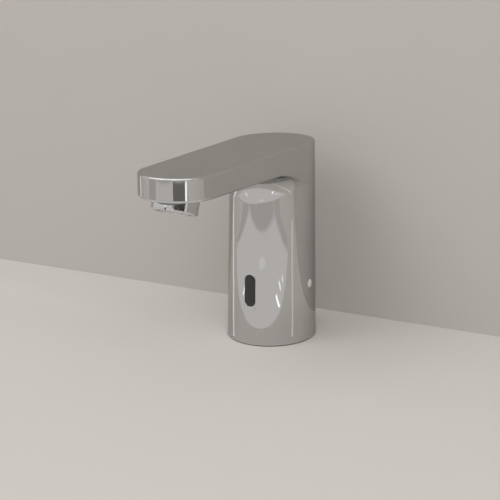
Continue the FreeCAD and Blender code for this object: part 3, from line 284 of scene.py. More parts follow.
def casting_skin():
    """Half the skin is drawn as a grid and mirrored, and its foot and top are closed."""
    across = BACK_STEPS + SIDE_STEPS + TIP_STEPS
    up = WALL_ROWS + BLEND_ROWS + UNDER_ROWS + EDGE_ROWS + SIDE_ROWS + TOP_ROWS
    bm = bmesh.new()
    bmesh.ops.create_grid(bm, x_segments=across, y_segments=up, size=1)
    lines = [skin_line(step) for step in range(across + 1)]
    for vert in bm.verts:
        step, row = round((vert.co.x + 1) / 2 * across), round((vert.co.y + 1) / 2 * up)
        vert.co = lines[step][row]
    everything = bm.verts[:] + bm.edges[:] + bm.faces[:]
    bmesh.ops.mirror(bm, geom=everything, axis="X", merge_dist=0.001)
    bmesh.ops.remove_doubles(bm, verts=bm.verts, dist=JOIN_WITHIN)
    closed = bmesh.ops.holes_fill(bm, edges=bm.edges)["faces"]
    bmesh.ops.inset_region(bm, faces=closed, thickness=FLAT_BORDER)
    return bm


def round_bar(radius, low, high, segments=64):
    """An upright round bar between two heights."""
    bm = bmesh.new()
    bmesh.ops.create_cone(
        bm, cap_ends=True, segments=segments, radius1=radius, radius2=radius, depth=high - low
    )
    bmesh.ops.translate(bm, vec=(0, 0, (low + high) / 2), verts=bm.verts)
    return bm


def moved(bm, matrix):
    """The bmesh, transformed."""
    bmesh.ops.transform(bm, matrix=matrix, verts=bm.verts)
    return bm


def hollow_tool(wall, top):
    """The casting's hollow: the column's own oval, drawn in by the wall."""
    bm = round_bar(1, -1, top, CAVITY_SIDES)
    for vert in bm.verts:
        half_width, half_depth = half_sizes(vert.co.z)
        vert.co.x *= half_width - wall
        vert.co.y *= half_depth - wall
    return bm


def stadium_bar(radius, straight, front, back, height, segments=48):
    """A bar of upright stadium section, lying along Y."""
    bm = round_bar(radius, front, back, segments)
    moved(bm, Matrix.Rotation(-pi / 2, 4, "X") @ Matrix.Rotation(pi / segments, 4, "Z"))
    for vert in bm.verts:
        vert.co.z += straight / 2 if vert.co.z > 0 else -straight / 2
    return moved(bm, Matrix.Translation((0, 0, height)))


CASTING_WALL, CAVITY_HEIGHT, CAVITY_SIDES = 2.6, 94.0, 160
INNER_Y, ADJUSTER_HEIGHT, SENSOR_HEIGHT = -1.0, 32.5, 31.6
LENS_RADIUS, LENS_STRAIGHT, LENS_RIM, LENS_GAP = 3.2, 11.6, 1.4, 0.1
POCKET_Y, WINDOW_BEVEL = -24.9, 0.22
CAP_RADIUS, CAP_HEAD, CAP_GAP = 2.42, 1.2, 0.08
CAP_STEM_RADIUS, CAP_STEM_BORE, CAP_STEM_GAP = 1.85, 6, 0.15
AERATOR_RADIUS, AERATOR_GRIP, AERATOR_GAP, SEAL_THICKNESS, RING_SIDES = 11.75, 5.6, 0.15, 1.0, 128
# The aerator's axis leans, so that its outlet faces forward, and it crosses the underside a little ahead of
# the tip's centre.
AERATOR_AHEAD, AERATOR_TILT = 1.6, radians(20)
AERATOR_CENTRE = Vector((0, -REACH - AERATOR_AHEAD, TIP_UNDER))
AERATOR_PLACE = Matrix.Translation(AERATOR_CENTRE) @ Matrix.Rotation(-AERATOR_TILT, 4, "X")
# The mixing spindle and the plug over it lie across the column.
SIDEWAYS = Matrix.Translation((0, INNER_Y, ADJUSTER_HEIGHT)) @ Matrix.Rotation(pi / 2, 4, "Y")
CAP_SEAT = half_sizes(ADJUSTER_HEIGHT)[0] - CAP_HEAD

# Bright nickel-chrome plate over polished brass: mirror-like and neutral in colour, with a trace of wiping
# marks in its gloss and the faint waviness that hand polishing leaves under the plate.
chrome, tree, shader = new_finish("polished_chrome_plate")
place = add_node(tree, "TexCoord").outputs["Object"]
wiping = add_node(tree, "TexNoise", Vector=place, Scale=1 / (14 * MM), Detail=4, Roughness=0.6)
gloss = add_node(
    tree, "MapRange", Value=wiping.outputs[0], From_Min=0.35, From_Max=0.7, To_Min=0.035, To_Max=0.075
)
waves = add_node(tree, "TexNoise", Vector=place, Scale=1 / (9 * MM), Detail=1)
ripple = add_node(tree, "Bump", Height=waves.outputs[0], Strength=1, Distance=0.003 * MM)
plug(tree, shader, "Base Color", linear("#C7C7C6"))
plug(tree, shader, "Specular Tint", linear("#DFDFDE"))
plug(tree, shader, "Metallic", 1)
plug(tree, shader, "Roughness", gloss.outputs[0])
plug(tree, shader, "Normal", ripple.outputs[0])

casting = new_piece("tap_casting", casting_skin(), chrome, "tap", "tap_body", slot="chromed_casting")
window_radius, inside = LENS_RADIUS + LENS_GAP, POCKET_Y + CASTING_WALL
# Each tool reaches past the face that it enters through, so that no film is left there.
carve(
    casting,
    hollow_tool(CASTING_WALL, CAVITY_HEIGHT),
    stadium_bar(window_radius, LENS_STRAIGHT, -BASE_HALF_DEPTH - 2, inside, SENSOR_HEIGHT),
    stadium_bar(window_radius + LENS_RIM, LENS_STRAIGHT, POCKET_Y, inside, SENSOR_HEIGHT),
    moved(round_bar(CAP_RADIUS + CAP_GAP, CAP_SEAT, CAP_SEAT + 4), SIDEWAYS),
    moved(round_bar(CAP_STEM_RADIUS + CAP_STEM_GAP, CAP_SEAT - CAP_STEM_BORE, CAP_SEAT + 1), SIDEWAYS),
    moved(
        round_bar(AERATOR_RADIUS + AERATOR_GAP, -AERATOR_RADIUS, AERATOR_GRIP + SEAL_THICKNESS, RING_SIDES),
        AERATOR_PLACE,
    ),
)

# The polisher breaks the sharp edge round the window, so it gets a fine rounded rim.
bm = bmesh.new()
bm.from_mesh(casting.data)
window_rim = []
for edge in bm.edges:
    middle = (edge.verts[0].co + edge.verts[1].co) / 2 / MM
    off = hypot(middle.x, max(abs(middle.z - SENSOR_HEIGHT) - LENS_STRAIGHT / 2, 0)) - window_radius
    if middle.y < POCKET_Y - 1 and abs(off) < 0.05 and edge.calc_face_angle(0) > 1:
        window_rim.append(edge)
bmesh.ops.bevel(
    bm, geom=window_rim, offset=WINDOW_BEVEL * MM, segments=3, profile=0.5, affect="EDGES", material=-1
)
bm.to_mesh(casting.data)
bm.free()
smooth(casting, 30)


# ---------------------------------------------------------------- the aerator
# The real piece is a turned brass ring, chromed with the tap, that screws up into the spout's tip.
# It holds a moulded acetal insert with a honeycomb of small jets and a flow disc, on a rubber seal.

AERATOR_DROP, AERATOR_BORE, AERATOR_LIP_BORE, AERATOR_LIP = 8.3, 10.0, 9.0, 0.8
RIM_ROUND, LIP_ROUND = 0.8, 0.25
# A key turns the ring by two slots in its lower rim.
KEY_SLOT, KEY_DEPTH, KEY_TURN = 4.4, 1.4, radians(18)
# A point closer than this to a circle lies on it.
NEAR = 0.01


def turned(profile, segments=96):
    """Spin a closed profile of (radius, height) round the Z axis."""
    bm = bmesh.new()
    corners = [bm.verts.new((radius, 0, height)) for radius, height in profile]
    outline = [bm.edges.new((corners[at - 1], corner)) for at, corner in enumerate(corners)]
    bmesh.ops.spin(bm, geom=corners + outline, axis=(0, 0, 1), angle=tau, steps=segments, use_merge=True)
    bmesh.ops.remove_doubles(bm, verts=bm.verts, dist=0.0001)
    return bm


def round_hoops(bm, radius, height, width, segments=4):
    """Round the circular edge of a turned bmesh that lies at a radius and a height."""
    on_hoop = set()
    for vert in bm.verts:
        if abs(hypot(vert.co.x, vert.co.y) - radius) < NEAR and abs(vert.co.z - height) < NEAR:
            on_hoop.add(vert)
    hoop = [edge for edge in bm.edges if on_hoop.issuperset(edge.verts)]
    bmesh.ops.bevel(bm, geom=hoop, offset=width, segments=segments, profile=0.5, affect="EDGES", material=-1)


def block(low, high):
    """A box between two corners."""
    bm = bmesh.new()
    bmesh.ops.create_cube(bm, size=1)
    bmesh.ops.scale(bm, vec=Vector(high) - Vector(low), verts=bm.verts)
    bmesh.ops.translate(bm, vec=(Vector(high) + Vector(low)) / 2, verts=bm.verts)
    return bm


# The same plate over turned brass: brighter on its narrow rims, with the tool's fine feed marks just to be
# felt under the plate, which spread each reflection a little along the ring's axis.
ring_chrome, tree, shader = new_finish("turned_chrome_plate")
place = add_node(tree, "TexCoord").outputs["Object"]
upright = add_node(tree, "Mapping", Vector=place, Rotation=(AERATOR_TILT, 0, 0)).outputs[0]
feed = add_node(
    tree, "TexWave", {"bands_direction": "Z"}, Vector=upright, Scale=1 / (1.2 * MM), Distortion=0.4
)
marks = add_node(tree, "Bump", Height=feed.outputs["Fac"], Strength=1, Distance=0.0015 * MM)
wiping = add_node(tree, "TexNoise", Vector=place, Scale=1 / (6 * MM), Detail=3)
gloss = add_node(
    tree, "MapRange", Value=wiping.outputs[0], From_Min=0.35, From_Max=0.7, To_Min=0.05, To_Max=0.11
)
plug(tree, shader, "Base Color", linear("#C8C8C8"))
plug(tree, shader, "Metallic", 1)
plug(tree, shader, "Roughness", gloss.outputs[0])
plug(tree, shader, "Normal", marks.outputs[0])

ring = turned([
    (AERATOR_LIP_BORE, -AERATOR_DROP), (AERATOR_RADIUS, -AERATOR_DROP), (AERATOR_RADIUS, AERATOR_GRIP),
    (AERATOR_BORE, AERATOR_GRIP), (AERATOR_BORE, AERATOR_LIP - AERATOR_DROP),
    (AERATOR_LIP_BORE, AERATOR_LIP - AERATOR_DROP),
], RING_SIDES)
round_hoops(ring, AERATOR_RADIUS, -AERATOR_DROP, RIM_ROUND, 6)
round_hoops(ring, AERATOR_LIP_BORE, -AERATOR_DROP, LIP_ROUND)
key_slots = []
for side in (0, pi):
    low = (-KEY_SLOT / 2, -AERATOR_RADIUS - 1, -AERATOR_DROP - 1)
    high = (KEY_SLOT / 2, -AERATOR_BORE, KEY_DEPTH - AERATOR_DROP)
    key_slots.append(moved(block(low, high), AERATOR_PLACE @ Matrix.Rotation(KEY_TURN + side, 4, "Z")))
moved(ring, AERATOR_PLACE)
aerator_ring = new_piece("aerator_ring", ring, ring_chrome, "tap", "aerator_housing", slot="chromed_ring")
carve(aerator_ring, *key_slots)


def give_finish(material, *names):
    """Give CAD nodes a finish."""
    for name in names:
        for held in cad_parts[name].material_slots:
            held.material = material


# Moulded acetal: milky white, waxy rather than glossy, with the faint flow clouds of the moulding.
acetal, tree, shader = new_finish("moulded_white_acetal")
place = add_node(tree, "TexCoord").outputs["Object"]
clouds = add_node(tree, "TexNoise", Vector=place, Scale=1 / (5 * MM), Detail=3)
tint = add_node(tree, "ValToRGB", Fac=clouds.outputs[0])
tint.color_ramp.elements[0].color, tint.color_ramp.elements[1].color = linear("#DEDCD3"), linear("#ECEAE3")
tint.color_ramp.elements[0].position, tint.color_ramp.elements[1].position = 0.35, 0.65
skin = add_node(tree, "TexNoise", Vector=place, Scale=1 / (0.5 * MM), Detail=2)
grain = add_node(tree, "Bump", Height=skin.outputs[0], Strength=1, Distance=0.01 * MM)
plug(tree, shader, "Base Color", tint.outputs[0])
plug(tree, shader, "Roughness", 0.38)
plug(tree, shader, "IOR", 1.48)
plug(tree, shader, "Subsurface Weight", 0.15)
plug(tree, shader, "Subsurface Scale", 1 * MM)
plug(tree, shader, "Normal", grain.outputs[0])
give_finish(acetal, "aerator_insert", "flow_disc")

# Moulded EPDM rubber: near black, matt, with a fine sooty grain and slightly paler where it has bloomed.
rubber, tree, shader = new_finish("moulded_black_rubber")
place = add_node(tree, "TexCoord").outputs["Object"]
bloom = add_node(tree, "TexNoise", Vector=place, Scale=1 / (7 * MM), Detail=4, Roughness=0.65)
tint = add_node(tree, "ValToRGB", Fac=bloom.outputs[0])
tint.color_ramp.elements[0].color, tint.color_ramp.elements[1].color = linear("#1C1B1B"), linear("#2E2C2B")
tint.color_ramp.elements[0].position, tint.color_ramp.elements[1].position = 0.35, 0.7
skin = add_node(tree, "TexNoise", Vector=place, Scale=1 / (0.35 * MM), Detail=3)
grain = add_node(tree, "Bump", Height=skin.outputs[0], Strength=1, Distance=0.03 * MM)
plug(tree, shader, "Base Color", tint.outputs[0])
plug(tree, shader, "Roughness", 0.78)
plug(tree, shader, "IOR", 1.52)
plug(tree, shader, "Normal", grain.outputs[0])
give_finish(rubber, "aerator_seal")


# ---------------------------------------------------------------- the sensor
# A dark pane that only infrared passes lies just below the casting's surface and follows its curve.
# Behind it a moulded case holds an emitter and a receiver, soldered to a small circuit board.

LENS_RECESS, LENS_FLANGE, LENS_SEAL = 0.35, 1.2, 0.4
PANE_SIDES, PANE_RINGS = 64, 8


def stadium_pane(radius, straight, recess, back, height):
    """A pane of stadium outline whose front follows the column's oval, a little below its surface."""
    bm = bmesh.new()
    bmesh.ops.create_circle(bm, cap_ends=True, segments=PANE_SIDES, radius=radius)
    bmesh.ops.rotate(bm, matrix=Matrix.Rotation(pi / PANE_SIDES, 3, "Z"), verts=bm.verts)
    for vert in bm.verts:
        vert.co = (vert.co.x, back, vert.co.y + (straight / 2 if vert.co.y > 0 else -straight / 2) + height)
    sides = bmesh.ops.extrude_face_region(bm, geom=bm.faces[:])["geom"]
    front = [face for face in sides if isinstance(face, bmesh.types.BMFace)]
    for _ in range(PANE_RINGS):
        bmesh.ops.inset_region(bm, faces=front, thickness=radius / (PANE_RINGS + 1))
    facing = {vert for face in bm.faces if abs(face.normal.y) > 0.5 for vert in face.verts}
    ends = {vert for face in bm.faces if len(face.verts) == PANE_SIDES for vert in face.verts}
    middle = {vert for face in front for vert in face.verts}
    for vert in facing - (ends - middle):
        half_width, half_depth = half_sizes(vert.co.z)
        vert.co.y = recess - half_depth * sqrt(1 - (vert.co.x / half_width) ** 2)
    return bm


def joined(bm, other):
    """The first bmesh with the second one's faces added."""
    mesh = bpy.data.meshes.new("joined")
    other.to_mesh(mesh)
    other.free()
    bm.from_mesh(mesh)
    bpy.data.meshes.remove(mesh)
    return bm


# Smoked polycarbonate, polished in the mould: so deep a plum brown that it reads black, glossy as glass,
# with the slight orange peel of the moulding in its reflections.
smoked, tree, shader = new_finish("smoked_polycarbonate")
place = add_node(tree, "TexCoord").outputs["Object"]
depth = add_node(tree, "TexNoise", Vector=place, Scale=1 / (4 * MM), Detail=2)
tint = add_node(tree, "ValToRGB", Fac=depth.outputs[0])
tint.color_ramp.elements[0].color, tint.color_ramp.elements[1].color = linear("#120D0C"), linear("#1E1614")
peel = add_node(tree, "TexNoise", Vector=place, Scale=1 / (2.5 * MM), Detail=1)
ripple = add_node(tree, "Bump", Height=peel.outputs[0], Strength=1, Distance=0.004 * MM)
plug(tree, shader, "Base Color", tint.outputs[0])
plug(tree, shader, "Roughness", 0.12)
plug(tree, shader, "IOR", 1.58)
plug(tree, shader, "Normal", ripple.outputs[0])

pane_back = POCKET_Y + LENS_SEAL
pane = stadium_pane(LENS_RADIUS, LENS_STRAIGHT, LENS_RECESS, pane_back, SENSOR_HEIGHT)
flange = stadium_bar(
    LENS_RADIUS + LENS_RIM, LENS_STRAIGHT, pane_back, pane_back + LENS_FLANGE, SENSOR_HEIGHT
)
window = joined(pane, flange)
new_piece("sensor_window", window, smoked, "tap", "sensor_lens", slot="dark_window", sharp=40)
give_finish(rubber, "lens_seal")

# Clear epoxy round the diodes, tinted so dark a blue that only the highlight tells it from black.
epoxy, tree, shader = new_finish("tinted_diode_epoxy")
place = add_node(tree, "TexCoord").outputs["Object"]
haze = add_node(tree, "TexNoise", Vector=place, Scale=1 / (1.5 * MM), Detail=2)
gloss = add_node(tree, "MapRange", Value=haze.outputs[0], To_Min=0.05, To_Max=0.16)
plug(tree, shader, "Base Color", linear("#1B1D2B"))
plug(tree, shader, "IOR", 1.54)
plug(tree, shader, "Roughness", gloss.outputs[0])
plug(tree, shader, "Coat Weight", 0.6)
give_finish(epoxy, "infrared_emitter", "infrared_receiver")

# Glass-filled nylon: charcoal black, with the dull spark-eroded grain of its mould.
nylon, tree, shader = new_finish("moulded_black_nylon")
place = add_node(tree, "TexCoord").outputs["Object"]
fibres = add_node(tree, "TexNoise", Vector=place, Scale=1 / (3 * MM), Detail=5, Roughness=0.7)
tint = add_node(tree, "ValToRGB", Fac=fibres.outputs[0])
tint.color_ramp.elements[0].color, tint.color_ramp.elements[1].color = linear("#1E1E1F"), linear("#2C2B2B")
erosion = add_node(tree, "TexVoronoi", Vector=place, Scale=1 / (0.4 * MM))
grain = add_node(tree, "Bump", Height=erosion.outputs["Distance"], Strength=1, Distance=0.02 * MM)
plug(tree, shader, "Base Color", tint.outputs[0])
plug(tree, shader, "Roughness", 0.55)
plug(tree, shader, "IOR", 1.53)
plug(tree, shader, "Normal", grain.outputs[0])
give_finish(nylon, "sensor_case")

# Glass-fibre laminate under a green solder mask, with copper tracks that show as paler, slightly raised
# lines.
laminate, tree, shader = new_finish("green_solder_mask")
place = add_node(tree, "TexCoord").outputs["Object"]
flat = add_node(tree, "Mapping", Vector=place, Rotation=(radians(90), 0, 0)).outputs[0]
tracks = add_node(
    tree, "TexBrick", {"offset": 0.37, "squash": 0.6}, Vector=flat, Scale=1 / (3.2 * MM), Mortar_Size=0.07
)
plug(tree, tracks, "Color1", linear("#0E4A2A"))
plug(tree, tracks, "Color2", linear("#125331"))
plug(tree, tracks, "Mortar", linear("#2B7A4A"))
relief = add_node(tree, "Bump", Height=tracks.outputs["Fac"], Strength=1, Distance=0.03 * MM)
plug(tree, shader, "Base Color", tracks.outputs["Color"])
plug(tree, shader, "Roughness", 0.32)
plug(tree, shader, "IOR", 1.5)
plug(tree, shader, "Normal", relief.outputs[0])
give_finish(laminate, "sensor_board")


# ---------------------------------------------------------------- the side plug
# A small moulded plug is pushed into the column's right side, over the end of the mixing spindle.
# Its low crown stands just proud of the chrome, and a soft lip on its stem holds it.

CAP_CROWN, CAP_STEM, CAP_EDGE_ROUND, CAP_STEM_ROUND = 0.25, 2.4, 0.18, 0.4

# Moulded ABS in a cool pale grey, glossy, with the very slight cloudiness that daylight gives it.
pale, tree, shader = new_finish("pale_grey_abs")
place = add_node(tree, "TexCoord").outputs["Object"]
clouds = add_node(tree, "TexNoise", Vector=place, Scale=1 / (2 * MM), Detail=3)
tint = add_node(tree, "ValToRGB", Fac=clouds.outputs[0])
tint.color_ramp.elements[0].color, tint.color_ramp.elements[1].color = linear("#CFCDC7"), linear("#DDDBD6")
ripple = add_node(tree, "Bump", Height=clouds.outputs[0], Strength=1, Distance=0.004 * MM)
plug(tree, shader, "Base Color", tint.outputs[0])
plug(tree, shader, "Roughness", 0.22)
plug(tree, shader, "IOR", 1.53)
plug(tree, shader, "Normal", ripple.outputs[0])

cap = turned([
    (0, -CAP_STEM), (CAP_STEM_RADIUS, -CAP_STEM), (CAP_STEM_RADIUS, 0), (CAP_RADIUS, 0),
    (CAP_RADIUS, CAP_HEAD), (CAP_RADIUS * 0.7, CAP_HEAD + CAP_CROWN * 0.65),
    (CAP_RADIUS * 0.35, CAP_HEAD + CAP_CROWN), (0, CAP_HEAD + CAP_CROWN),
], 64)
round_hoops(cap, CAP_RADIUS, CAP_HEAD, CAP_EDGE_ROUND)
round_hoops(cap, CAP_STEM_RADIUS, -CAP_STEM, CAP_STEM_ROUND)
moved(cap, SIDEWAYS @ Matrix.Translation((0, 0, CAP_SEAT)))
new_piece("side_plug", cap, pale, "side_cap", "adjuster_cap", slot="pale_plastic", sharp=50)


# ---------------------------------------------------------------- the foot and its fixing
# A machined brass plate closes the column's foot, on a rubber gasket, and holds the two inlets' threads.
# A threaded stud hangs from it through the deck, with a horseshoe clamp, its pad and a hexagon nut below.

# Machined brass: warm yellow and satin, with fine cutter marks and a few duller, browner patches from
# handling.
brass, tree, shader = new_finish("machined_brass")
place = add_node(tree, "TexCoord").outputs["Object"]
handling = add_node(tree, "TexNoise", Vector=place, Scale=1 / (11 * MM), Detail=5, Roughness=0.6)
tint = add_node(tree, "ValToRGB", Fac=handling.outputs[0])
tint.color_ramp.elements[0].color, tint.color_ramp.elements[1].color = linear("#B9975B"), linear("#D6B677")
tint.color_ramp.elements[0].position, tint.color_ramp.elements[1].position = 0.35, 0.6
dull = add_node(
    tree, "MapRange", Value=handling.outputs[0], From_Min=0.35, From_Max=0.6, To_Min=0.36, To_Max=0.24
)
cutter = add_node(
    tree, "TexWave", {"wave_type": "RINGS", "rings_direction": "Z"}, Vector=place, Scale=1 / (1.6 * MM)
)
marks = add_node(tree, "Bump", Height=cutter.outputs["Fac"], Strength=1, Distance=0.004 * MM)
plug(tree, shader, "Base Color", tint.outputs[0])
plug(tree, shader, "Metallic", 1)
plug(tree, shader, "Roughness", dull.outputs[0])
plug(tree, shader, "Normal", marks.outputs[0])
give_finish(brass, "base_plate", "clamp_nut")

# Stainless steel, drawn or rolled: cool grey, satin along one grain that stretches every highlight.
steel, tree, shader = new_finish("drawn_stainless_steel")
place = add_node(tree, "TexCoord").outputs["Object"]
drawn = add_node(tree, "Mapping", Vector=place, Scale=(1, 1, 0.06)).outputs[0]
lines = add_node(tree, "TexNoise", Vector=drawn, Scale=1 / (0.5 * MM), Detail=4, Roughness=0.7)
satin = add_node(
    tree, "MapRange", Value=lines.outputs[0], From_Min=0.3, From_Max=0.7, To_Min=0.2, To_Max=0.36
)
scratches = add_node(tree, "Bump", Height=lines.outputs[0], Strength=1, Distance=0.004 * MM)
plug(tree, shader, "Base Color", linear("#B4B3B0"))
plug(tree, shader, "Metallic", 1)
plug(tree, shader, "Roughness", satin.outputs[0])
plug(tree, shader, "Normal", scratches.outputs[0])
give_finish(steel, "base_screws", "cover_screws", "mixer_screws")
give_finish(rubber, "base_gasket", "cable_grommet", "clamp_pad")

# Zinc-plated steel: brighter and bluer than stainless, with the faint yellow clouds of its passivation and
# the crystals of the plate just visible.
zinc, tree, shader = new_finish("bright_zinc_plate")
place = add_node(tree, "TexCoord").outputs["Object"]
clouds = add_node(tree, "TexNoise", Vector=place, Scale=1 / (8 * MM), Detail=3)
tint = add_node(tree, "ValToRGB", Fac=clouds.outputs[0])
tint.color_ramp.elements[0].color, tint.color_ramp.elements[1].color = linear("#AEB4BB"), linear("#C2BDAE")
tint.color_ramp.elements[0].position, tint.color_ramp.elements[1].position = 0.4, 0.72
crystals = add_node(tree, "TexVoronoi", Vector=place, Scale=1 / (1.1 * MM))
satin = add_node(tree, "MapRange", Value=crystals.outputs["Distance"], To_Min=0.26, To_Max=0.4)
grain = add_node(tree, "Bump", Height=crystals.outputs["Distance"], Strength=1, Distance=0.004 * MM)
plug(tree, shader, "Base Color", tint.outputs[0])
plug(tree, shader, "Metallic", 1)
plug(tree, shader, "Roughness", satin.outputs[0])
plug(tree, shader, "Normal", grain.outputs[0])
give_finish(zinc, "clamp_plate")

# The stud's rolled thread is one flank profile, spun up a helix and cut level at both ends. A plain core
# with chamfered ends fills it.
PITCH, STUD_RADIUS, STUD_Y, THREAD_DEPTH, THREAD_STEPS = 1.25, 4.0, -13.0, 0.68, 32
STUD_CHAMFER, CHAMFER_HEIGHT, CORE_GAP = 0.3, 0.4, 0.02
stud_low, stud_high = (corner.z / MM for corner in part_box("fixing_stud"))
root_radius = STUD_RADIUS - THREAD_DEPTH
turns = int((stud_high - stud_low) / PITCH) + 2
profile = [
    (root_radius, 0), (root_radius, 0.16), (STUD_RADIUS, 0.55), (STUD_RADIUS, 0.7), (root_radius, 1.09),
    (root_radius, PITCH),
]
stud = bmesh.new()
points = [stud.verts.new((radius, 0, stud_low - PITCH + height)) for radius, height in profile]
flanks = [stud.edges.new(pair) for pair in zip(points, points[1:])]
bmesh.ops.spin(
    stud, geom=points + flanks, axis=(0, 0, 1), angle=tau * turns, steps=THREAD_STEPS * turns,
    dvec=(0, 0, PITCH / THREAD_STEPS),
)
bmesh.ops.remove_doubles(stud, verts=stud.verts, dist=0.002)
for level, up in ((stud_low + STUD_CHAMFER, -1), (stud_high - STUD_CHAMFER, 1)):
    everything = stud.verts[:] + stud.edges[:] + stud.faces[:]
    bmesh.ops.bisect_plane(
        stud, geom=everything, plane_co=(0, 0, level), plane_no=(0, 0, up), clear_outer=True
    )
bmesh.ops.holes_fill(stud, edges=stud.edges)
core_radius, end_radius = root_radius - CORE_GAP, root_radius - STUD_CHAMFER
core = turned([
    (0, stud_low), (end_radius, stud_low), (core_radius, stud_low + CHAMFER_HEIGHT),
    (core_radius, stud_high - CHAMFER_HEIGHT), (end_radius, stud_high), (0, stud_high),
], 48)
stud = moved(joined(stud, core), Matrix.Translation((0, STUD_Y, 0)))
new_piece("threaded_stud", stud, steel, "tap", "fixing_stud", slot="steel", sharp=35)


# ---------------------------------------------------------------- the water's way
# Check valves stand in the inlets' brass and feed a brass mixing barrel, which a spindle sets from the side.
# A moulded servo valve with a resin-cast coil sits on it, and an acetal tube leads up into the spout.

give_finish(brass, "mixer_housing", "mixer_spindle", "mixer_gland")
give_finish(acetal, "hot_check_body", "cold_check_body", "hot_check_poppet", "cold_check_poppet")
give_finish(acetal, "servo_piston", "outlet_tube")
give_finish(nylon, "valve_body", "valve_cover")
give_finish(rubber, "case_pad", "outlet_seals", "piston_seal", "seat_washer", "spindle_seal")
give_finish(steel, "core_tube", "plunger")
give_finish(zinc, "coil_yoke", "coil_nut")

# A round-wire spring seats each poppet and the plunger. The real spring shortens towards its fixed top as
# its part lifts; this one is drawn at one length.
WIRE_RADIUS, WIRE_SIDES, COIL_STEPS = 0.3, 10, 28
for name, cad_spring, coil_radius, coils, joint, travel in (
    ("hot_check_coil", "hot_check_spring", 1.6, 4, "hot_poppet_lift", 1.8),
    ("cold_check_coil", "cold_check_spring", 1.6, 4, "cold_poppet_lift", 1.8),
    ("plunger_coil", "plunger_spring", 1.7, 5, "armature_lift", 1.6),
):
    low, high = (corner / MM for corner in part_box(cad_spring))
    length, middle = high.z - low.z, (low + high) / 2
    spring = bmesh.new()
    upright = Matrix.Rotation(pi / 2, 4, "X")
    bmesh.ops.create_circle(spring, segments=WIRE_SIDES, radius=WIRE_RADIUS, matrix=upright)
    moved(spring, Matrix.Translation((coil_radius, 0, low.z + WIRE_RADIUS)))
    wire, steps = spring.verts[:] + spring.edges[:], COIL_STEPS * coils
    rise = (length - 2 * WIRE_RADIUS) / steps
    bmesh.ops.spin(
        spring, geom=wire, axis=(0, 0, 1), angle=tau * coils, steps=steps, dvec=(0, 0, rise)
    )
    bmesh.ops.holes_fill(spring, edges=spring.edges)
    moved(spring, Matrix.Translation((middle.x, middle.y, 0)))
    coil = new_piece(name, spring, steel, "tap", cad_spring, slot="steel", sharp=60)
    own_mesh(coil)

# Woven stainless strainer cloth: a fine grid of wires, with painted shade in the gaps between them. The real
# mesh is 0.25 mm, and it is drawn at 0.6 mm so that it shows.
cloth, tree, shader = new_finish("woven_strainer_steel")
place = add_node(tree, "TexCoord").outputs["Object"]
weft = add_node(tree, "TexWave", {"bands_direction": "Z"}, Vector=place, Scale=1 / (1.9 * MM))
warp = add_node(tree, "TexWave", {"bands_direction": "DIAGONAL"}, Vector=place, Scale=1 / (1.9 * MM))
weave = add_node(tree, "Math", {"operation": "MAXIMUM"}, _0=weft.outputs["Fac"], _1=warp.outputs["Fac"])
# The dark end of this ramp is painted shade in the gaps of the weave.
tint = add_node(tree, "ValToRGB", Fac=weave.outputs[0])
tint.color_ramp.elements[0].color, tint.color_ramp.elements[1].color = linear("#3A3A38"), linear("#B9B8B4")
tint.color_ramp.elements[0].position, tint.color_ramp.elements[1].position = 0.5, 0.8
relief = add_node(tree, "Bump", Height=weave.outputs[0], Strength=1, Distance=0.1 * MM)
plug(tree, shader, "Base Color", tint.outputs[0])
plug(tree, shader, "Metallic", 1)
plug(tree, shader, "Roughness", 0.35)
plug(tree, shader, "Normal", relief.outputs[0])
give_finish(cloth, "hot_strainer", "cold_strainer")

# Polyester resin cast over the coil's winding: dark umber, half glossy, with short pale glass flecks in it.
resin, tree, shader = new_finish("cast_coil_resin")
place = add_node(tree, "TexCoord").outputs["Object"]
flecks = add_node(tree, "TexVoronoi", Vector=place, Scale=1 / (0.9 * MM), Randomness=1)
tint = add_node(tree, "ValToRGB", Fac=flecks.outputs["Distance"])
tint.color_ramp.elements[0].color, tint.color_ramp.elements[1].color = linear("#4A433C"), linear("#29221D")
tint.color_ramp.elements[0].position, tint.color_ramp.elements[1].position = 0.05, 0.2
swirl = add_node(tree, "TexNoise", Vector=place, Scale=1 / (4 * MM), Detail=4)
ripple = add_node(tree, "Bump", Height=swirl.outputs[0], Strength=1, Distance=0.03 * MM)
plug(tree, shader, "Base Color", tint.outputs[0])
plug(tree, shader, "Roughness", 0.4)
plug(tree, shader, "IOR", 1.55)
plug(tree, shader, "Normal", ripple.outputs[0])
give_finish(resin, "solenoid_coil")


# ---------------------------------------------------------------- the room
# A plain pale floor and a plain backdrop that stands close behind the tap, as a wall would.
# Soft lamps hang in front, and cards give the chrome something pale and something dark to reflect.


def stage_sheet(name, corners, material):
    """A flat sheet of the stage, between corners in metres."""
    bm = bmesh.new()
    bm.faces.new([bm.verts.new(corner) for corner in corners])
    mesh = bpy.data.meshes.new(name)
    bm.to_mesh(mesh)
    bm.free()
    sheet = bpy.data.objects.new(name, mesh)
    bpy.context.scene.collection.objects.link(sheet)
    mesh.materials.append(material)
    return sheet


def stage_paint(name, colour):
    """Matt paint that shows from the front only, so that no view from behind is blocked."""
    paint, tree, shader = new_finish(name)
    plug(tree, shader, "Base Color", linear(colour))
    plug(tree, shader, "Roughness", 0.9)
    plug(tree, shader, "Specular IOR Level", 0.2)
    back = add_node(tree, "NewGeometry").outputs["Backfacing"]
    clear = add_node(tree, "BsdfTransparent").outputs[0]
    sided = add_node(tree, "MixShader", _0=back, _1=shader.outputs[0], _2=clear)
    plug(tree, tree.nodes["Material Output"], "Surface", sided.outputs[0])
    return paint


